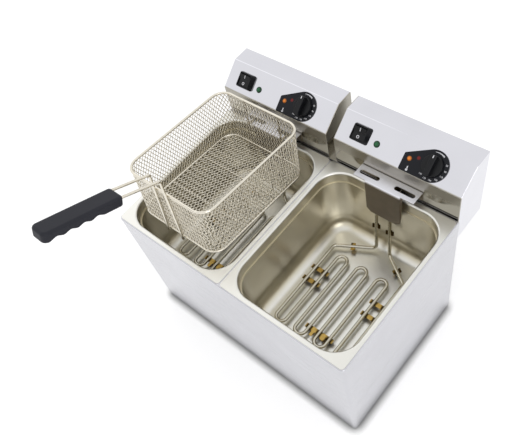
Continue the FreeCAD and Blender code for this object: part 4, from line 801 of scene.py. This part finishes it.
def floor_tree(material):
    """Mesh of the basket's floor: two sets of wires that lean either way, cut off at a rounded outline."""
    tree, size = start_tree("woven_floor", ("Width", "Length", "Corner", "Gap", "Wire radius"),
                            ("Wires", "Crossings"))
    grid, wire, crossing, along = mesh_grid(tree, size)
    # Inside the outline is within a corner's radius of the block that its straight sides span
    whole = add(tree, "ShaderNodeCombineXYZ", {"X": size["Width"], "Y": size["Length"]})
    corner = add(tree, "ShaderNodeCombineXYZ", {"X": size["Corner"], "Y": size["Corner"]})
    half = add(tree, "ShaderNodeVectorMath", {0: whole, "Scale": 0.5}, operation="SCALE")
    straight = add(tree, "ShaderNodeVectorMath", {0: half, 1: corner}, operation="SUBTRACT")
    flat = add(tree, "ShaderNodeVectorMath", {0: add(tree, "GeometryNodeInputPosition"), 1: (1, 1, 0)},
               operation="MULTIPLY")
    apart = add(tree, "ShaderNodeVectorMath", {0: flat}, operation="ABSOLUTE")
    beyond = add(tree, "ShaderNodeVectorMath", {0: apart, 1: straight}, operation="SUBTRACT")
    past = add(tree, "ShaderNodeVectorMath", {0: beyond, 1: (0, 0, 0)}, operation="MAXIMUM")
    far = add(tree, "ShaderNodeVectorMath", {0: past}, operation="LENGTH").outputs["Value"]
    inside = add(tree, "ShaderNodeMath", {0: far, 1: size["Corner"]}, operation="LESS_THAN")
    middle = add(tree, "ShaderNodeMath", {0: along, 1: 0.5}, operation="SUBTRACT")
    y = add(tree, "ShaderNodeMath", {0: middle, 1: size["Length"]}, operation="MULTIPLY")
    out = add(tree, "ShaderNodeCombineXYZ", {"Z": 1.0})
    both = add(tree, "GeometryNodeJoinGeometry")
    for side in (-1.0, 1.0):
        leaned = add(tree, "ShaderNodeMath", {0: crossing, 1: side / 2, 2: wire}, operation="MULTIPLY_ADD")
        # The set's own middle lies over the middle of the floor
        ends = add(tree, "ShaderNodeMath", {0: size["Crossings"], 1: side / 2, 2: size["Wires"]},
                   operation="MULTIPLY_ADD")
        centre = add(tree, "ShaderNodeMath", {0: ends, 1: 0.5, 2: -0.5}, operation="MULTIPLY_ADD")
        steps = add(tree, "ShaderNodeMath", {0: leaned, 1: centre}, operation="SUBTRACT")
        x = add(tree, "ShaderNodeMath", {0: steps, 1: size["Gap"]}, operation="MULTIPLY")
        spots = add(tree, "ShaderNodeCombineXYZ", {"X": x, "Y": y})
        wires = wire_set(tree, grid, spots, out, crossing, size["Wire radius"], side, inside)
        tree.links.new(wires.outputs[0], both.inputs[0])
    return end_tree(tree, both, material)


class FRYER_OT_basket_mesh(bpy.types.Operator):
    """Weave the fine wire mesh of the basket's walls and floor"""
    bl_idname = "fryer.basket_mesh"
    bl_label = "Basket mesh"

    def execute(self, context):
        sizes = context.scene.fryer_basket
        material = bright_wire("nickel_mesh_wire", context.scene.fryer_colours.wire, rough=0.12)
        place, wide, long = basket_place(sizes)
        around = 2 * (wide + long) - (8 - 2 * math.pi) * sizes.corner_r
        below_rim = sizes.rim_r + sizes.wire_r + sizes.gap
        inset = sizes.frame_r + sizes.wire_r + sizes.gap
        height = sizes.depth - below_rim - inset
        walls = run_tree(wall_tree(material), {
            "Width": wide, "Length": long, "Height": height, "Corner": sizes.corner_r,
            "Wire radius": sizes.wire_r, "Wires": round(around / sizes.diamond_w),
            "Crossings": round(2 * height / sizes.diamond_l)})
        walls.transform(place @ Matrix.Translation((0, 0, -below_rim)))
        add_piece("basket_wall_mesh", walls, material, "basket", "basket_wire", "basket_net_front",
                  "basket_net_rear", "basket_net_left", "basket_net_right", "basket_net_corners")
        wide -= 2 * inset
        long -= 2 * inset
        crossings = round(2 * long / sizes.diamond_l)
        floor = run_tree(floor_tree(material), {
            "Width": wide, "Length": long, "Corner": sizes.corner_r - inset, "Gap": sizes.diamond_w,
            "Wire radius": sizes.wire_r, "Crossings": crossings,
            "Wires": math.ceil(wide / sizes.diamond_w + crossings / 2) + 1})
        floor.transform(place @ Matrix.Translation((0, 0, -sizes.depth)))
        add_piece("basket_floor_mesh", floor, material, "basket", "basket_wire", "basket_net_floor")
        return {"FINISHED"}


class FRYER_OT_basket_wires(bpy.types.Operator):
    """Finish the basket's rim, frame, hooks and handle wires"""
    bl_idname = "fryer.basket_wires"
    bl_label = "Basket wires"

    def execute(self, context):
        colours = context.scene.fryer_colours
        finish(bright_wire("nickel_plated_wire", colours.wire, rough=0.2), "basket_rim",
               "basket_bottom_frame", "basket_cross_wires", "handle_wires")
        # The hooks' darker tint is painted shade
        finish(bright_wire("shaded_nickel_hook_wire", colours.hook, rough=0.3), "basket_hooks")
        return {"FINISHED"}


class FRYER_OT_grip(bpy.types.Operator):
    """Finish the moulded handle grip"""
    bl_idname = "fryer.grip"
    bl_label = "Handle grip"

    def execute(self, context):
        tint = context.scene.fryer_colours.grip
        grip = moulded_plastic("moulded_polyamide", tint, rough=0.5, grit_mm=0.6, shine=0.25)
        finish(grip, "handle_grip")
        return {"FINISHED"}


# Screws, feet and inner parts

def screw_tree(material):
    """Pan-head screws with a cross recess, one at each point of a mesh, facing back."""
    # Flat top, cross and slot as shares of the head's radius
    top_share, cross_share, slot_share = 0.7, 1.05, 0.24
    tree, size = start_tree("cross_head_screws", ("Head radius", "Head height"))
    head_r = size["Head radius"]
    top_r = add(tree, "ShaderNodeMath", {0: head_r, 1: top_share}, operation="MULTIPLY")
    head = add(tree, "GeometryNodeMeshCone", {
        "Vertices": SCREW_SIDES, "Radius Top": top_r, "Radius Bottom": head_r, "Depth": size["Head height"]})
    long_way = add(tree, "ShaderNodeMath", {0: head_r, 1: cross_share}, operation="MULTIPLY")
    short_way = add(tree, "ShaderNodeMath", {0: head_r, 1: slot_share}, operation="MULTIPLY")
    lift = add(tree, "ShaderNodeCombineXYZ", {"Z": size["Head height"]})
    cut = add(tree, "GeometryNodeMeshBoolean", {"Mesh 1": head}, operation="DIFFERENCE")
    for x, y in ((long_way, short_way), (short_way, long_way)):
        block = add(tree, "ShaderNodeCombineXYZ", {"X": x, "Y": y, "Z": size["Head height"]})
        bar = add(tree, "GeometryNodeMeshCube", {"Size": block})
        raised = add(tree, "GeometryNodeTransform", {"Geometry": bar, "Translation": lift})
        tree.links.new(raised.outputs[0], cut.inputs["Mesh 2"])
    facing_back = (math.radians(-90), 0, 0)
    copies = add(tree, "GeometryNodeInstanceOnPoints", {
        "Points": size["Geometry"], "Instance": cut, "Rotation": facing_back})
    return end_tree(tree, copies, material)


def screw_places(node, spread):
    """Rear middle of each screw of a node, whose own points lie within a spread."""
    screws = []
    for vertex in NODES[node].data.vertices:
        near = [points for points in screws if (points[0] - vertex.co).length < spread]
        if near:
            near[0].append(vertex.co)
        else:
            screws.append([vertex.co])
    places = []
    for points in screws:
        low = Vector(map(min, *points))
        high = Vector(map(max, *points))
        places.append(Vector(((low.x + high.x) / 2, high.y, (low.z + high.z) / 2)))
    return places


class FRYER_OT_screws(bpy.types.Operator):
    """Make the cross-head screws on the back"""
    bl_idname = "fryer.screws"
    bl_label = "Screws"

    def execute(self, context):
        sizes = context.scene.fryer_screws
        material = bright_wire("zinc_plated_screw", context.scene.fryer_colours.zinc, rough=0.35)
        tree = screw_tree(material)
        seat = Vector((0, sizes.head_h, 0))
        bodies = {"casing_screws": "base"}
        for side in SIDES:
            bodies[f"head_screws_{side}"] = f"head_{side}"
        for node, body in bodies.items():
            points = bpy.data.meshes.new("points")
            points.from_pydata([place - seat for place in screw_places(node, sizes.spread)], [], [])
            made = run_tree(tree, {"Head radius": sizes.head_r, "Head height": sizes.head_h}, points)
            add_piece(node + "_crossed", made, material, body, "screw_steel", node)
        return {"FINISHED"}


class FRYER_OT_feet(bpy.types.Operator):
    """Finish the rubber feet"""
    bl_idname = "fryer.feet"
    bl_label = "Feet"

    def execute(self, context):
        tint = context.scene.fryer_colours.rubber
        finish(moulded_plastic("nitrile_rubber", tint, rough=0.75, grit_mm=0.8, shine=0.4), "feet")
        return {"FINISHED"}


class FRYER_OT_inner_parts(bpy.types.Operator):
    """Finish the parts inside the heads and the cable glands"""
    bl_idname = "fryer.inner_parts"
    bl_label = "Inner parts"

    def execute(self, context):
        colours = context.scene.fryer_colours
        pale = moulded_plastic("moulded_melamine", colours.melamine, rough=0.45, grit_mm=0.6, shine=0.5)
        finish(pale, *pairs("thermostat", "terminal_block", "limiter"))
        gland = moulded_plastic("moulded_polyamide_gland", colours.black, rough=0.45, grit_mm=0.6,
                                shine=0.4)
        finish(gland, *pairs("cable_gland"))
        return {"FINISHED"}


# Stage

def floor_material(tint, glow, contact):
    """Matt seamless paper, lifted to white for the eye and for mirrors, with a dark edge under the object.

    Real paper grain is finer than 1 mm, and it is drawn 3.33 mm wide so that it shows.
    """
    material, tree, place = start_material("seamless_paper")
    paper = mottled(tree, place, tint, share=0.99, patch_mm=3.33)[1]
    open_sky = add(tree, "ShaderNodeAmbientOcclusion", {"Distance": contact}, samples=8).outputs["AO"]
    edge = add(tree, "ShaderNodeMath", {0: open_sky, 1: 2.0}, operation="POWER")
    tone = add(tree, "ShaderNodeVectorMath", {0: paper, "Scale": edge.outputs[0]}, operation="SCALE")
    lift = add(tree, "ShaderNodeMath", {0: seen_rays(tree), 1: glow}, operation="MULTIPLY")
    shown = add(tree, "ShaderNodeMath", {0: lift, 1: edge}, operation="MULTIPLY")
    return end_material(material, tone, 0.9, {
        "Emission Color": linear("#ffffff"), "Emission Strength": shown})


def room_light(strength):
    """Even studio room, white for the eye and for mirrors and of the given strength as light."""
    world = bpy.data.worlds.new("studio_room")
    bpy.context.scene.world = world
    world.use_nodes = True
    tree = world.node_tree
    tree.nodes.clear()
    level = add(tree, "ShaderNodeMapRange", {"Value": seen_rays(tree), "To Min": strength, "To Max": 1.0})
    glow = add(tree, "ShaderNodeBackground", {"Color": linear("#ffffff"), "Strength": level})
    add(tree, "ShaderNodeOutputWorld", {"Surface": glow})


def facing(place, target):
    """Turn of a camera or lamp at a place that looks at a target."""
    return (Vector(target) - Vector(place)).to_track_quat("-Z", "Y")


def soft_light(name, place, target, size, power):
    """Large square light that faces a target."""
    lamp = bpy.data.lights.new(name, "AREA")
    lamp.shape = "SQUARE"
    lamp.size = size
    lamp.energy = power
    holder = new_object(name, lamp)
    holder.visible_camera = False
    holder.location = place
    holder.rotation_euler = facing(place, target).to_euler()


class FRYER_OT_stage(bpy.types.Operator):
    """Set the floor, the light and the camera"""
    bl_idname = "fryer.stage"
    bl_label = "Stage"

    def execute(self, context):
        stage = context.scene.fryer_stage
        half = stage.paper_half
        paper = bpy.data.meshes.new("floor")
        paper.from_pydata([(-half, -half, 0), (half, -half, 0), (half, half, 0), (-half, half, 0)], [],
                          [(0, 1, 2, 3)])
        tint = context.scene.fryer_colours.floor
        paper.materials.append(floor_material(tint, stage.paper, stage.contact))
        floor = new_object("floor", paper)
        room_light(stage.room)
        soft_light("key_light", stage.key_place, stage.lit, stage.key_size, stage.key)
        soft_light("fill_light", stage.fill_place, stage.lit, stage.fill_size, stage.fill)
        camera = bpy.data.cameras.new("camera")
        camera.lens = stage.lens
        camera.shift_y = stage.shift
        view = facing(stage.place, stage.target).to_matrix().to_4x4()
        holder = new_object("camera", camera)
        holder.matrix_world = Matrix.Translation(stage.place) @ view @ Matrix.Rotation(-stage.roll, 4, "Z")
        context.scene.camera = holder
        context.scene.view_settings.view_transform = "Standard"
        return {"FINISHED"}


PIECES = (FRYER_OT_casing, FRYER_OT_tanks, FRYER_OT_heads, FRYER_OT_elements, FRYER_OT_dials,
          FRYER_OT_switches, FRYER_OT_basket_mesh, FRYER_OT_basket_wires, FRYER_OT_grip, FRYER_OT_screws,
          FRYER_OT_feet, FRYER_OT_inner_parts, FRYER_OT_stage)


class FRYER_PT_looks(bpy.types.Panel):
    """Lists the fryer's pieces and its stage"""
    bl_idname = "FRYER_PT_looks"
    bl_label = "Fryer"
    bl_space_type = "VIEW_3D"
    bl_region_type = "UI"
    bl_category = "Fryer"

    def draw(self, context):
        for piece in PIECES:
            self.layout.operator(piece.bl_idname)


GROUPS = {"fryer_colours": FryerColours, "fryer_basket": FryerBasket, "fryer_element": FryerElement,
          "fryer_dials": FryerDials, "fryer_switches": FryerSwitches, "fryer_screws": FryerScrews,
          "fryer_stage": FryerStage}


def register():
    """Make the properties, operators and panel known."""
    for kind in (*GROUPS.values(), *PIECES, FRYER_PT_looks):
        bpy.utils.register_class(kind)
    for name, group in GROUPS.items():
        setattr(bpy.types.Scene, name, PointerProperty(type=group))


def unregister():
    """Take them away again."""
    for name in GROUPS:
        delattr(bpy.types.Scene, name)
    for kind in (FRYER_PT_looks, *reversed(PIECES), *GROUPS.values()):
        bpy.utils.unregister_class(kind)


def main():
    """Make every piece and the stage."""
    register()
    for piece in PIECES:
        family, name = piece.bl_idname.split(".")
        getattr(getattr(bpy.ops, family), name)()


if __name__ == "__main__":
    main()
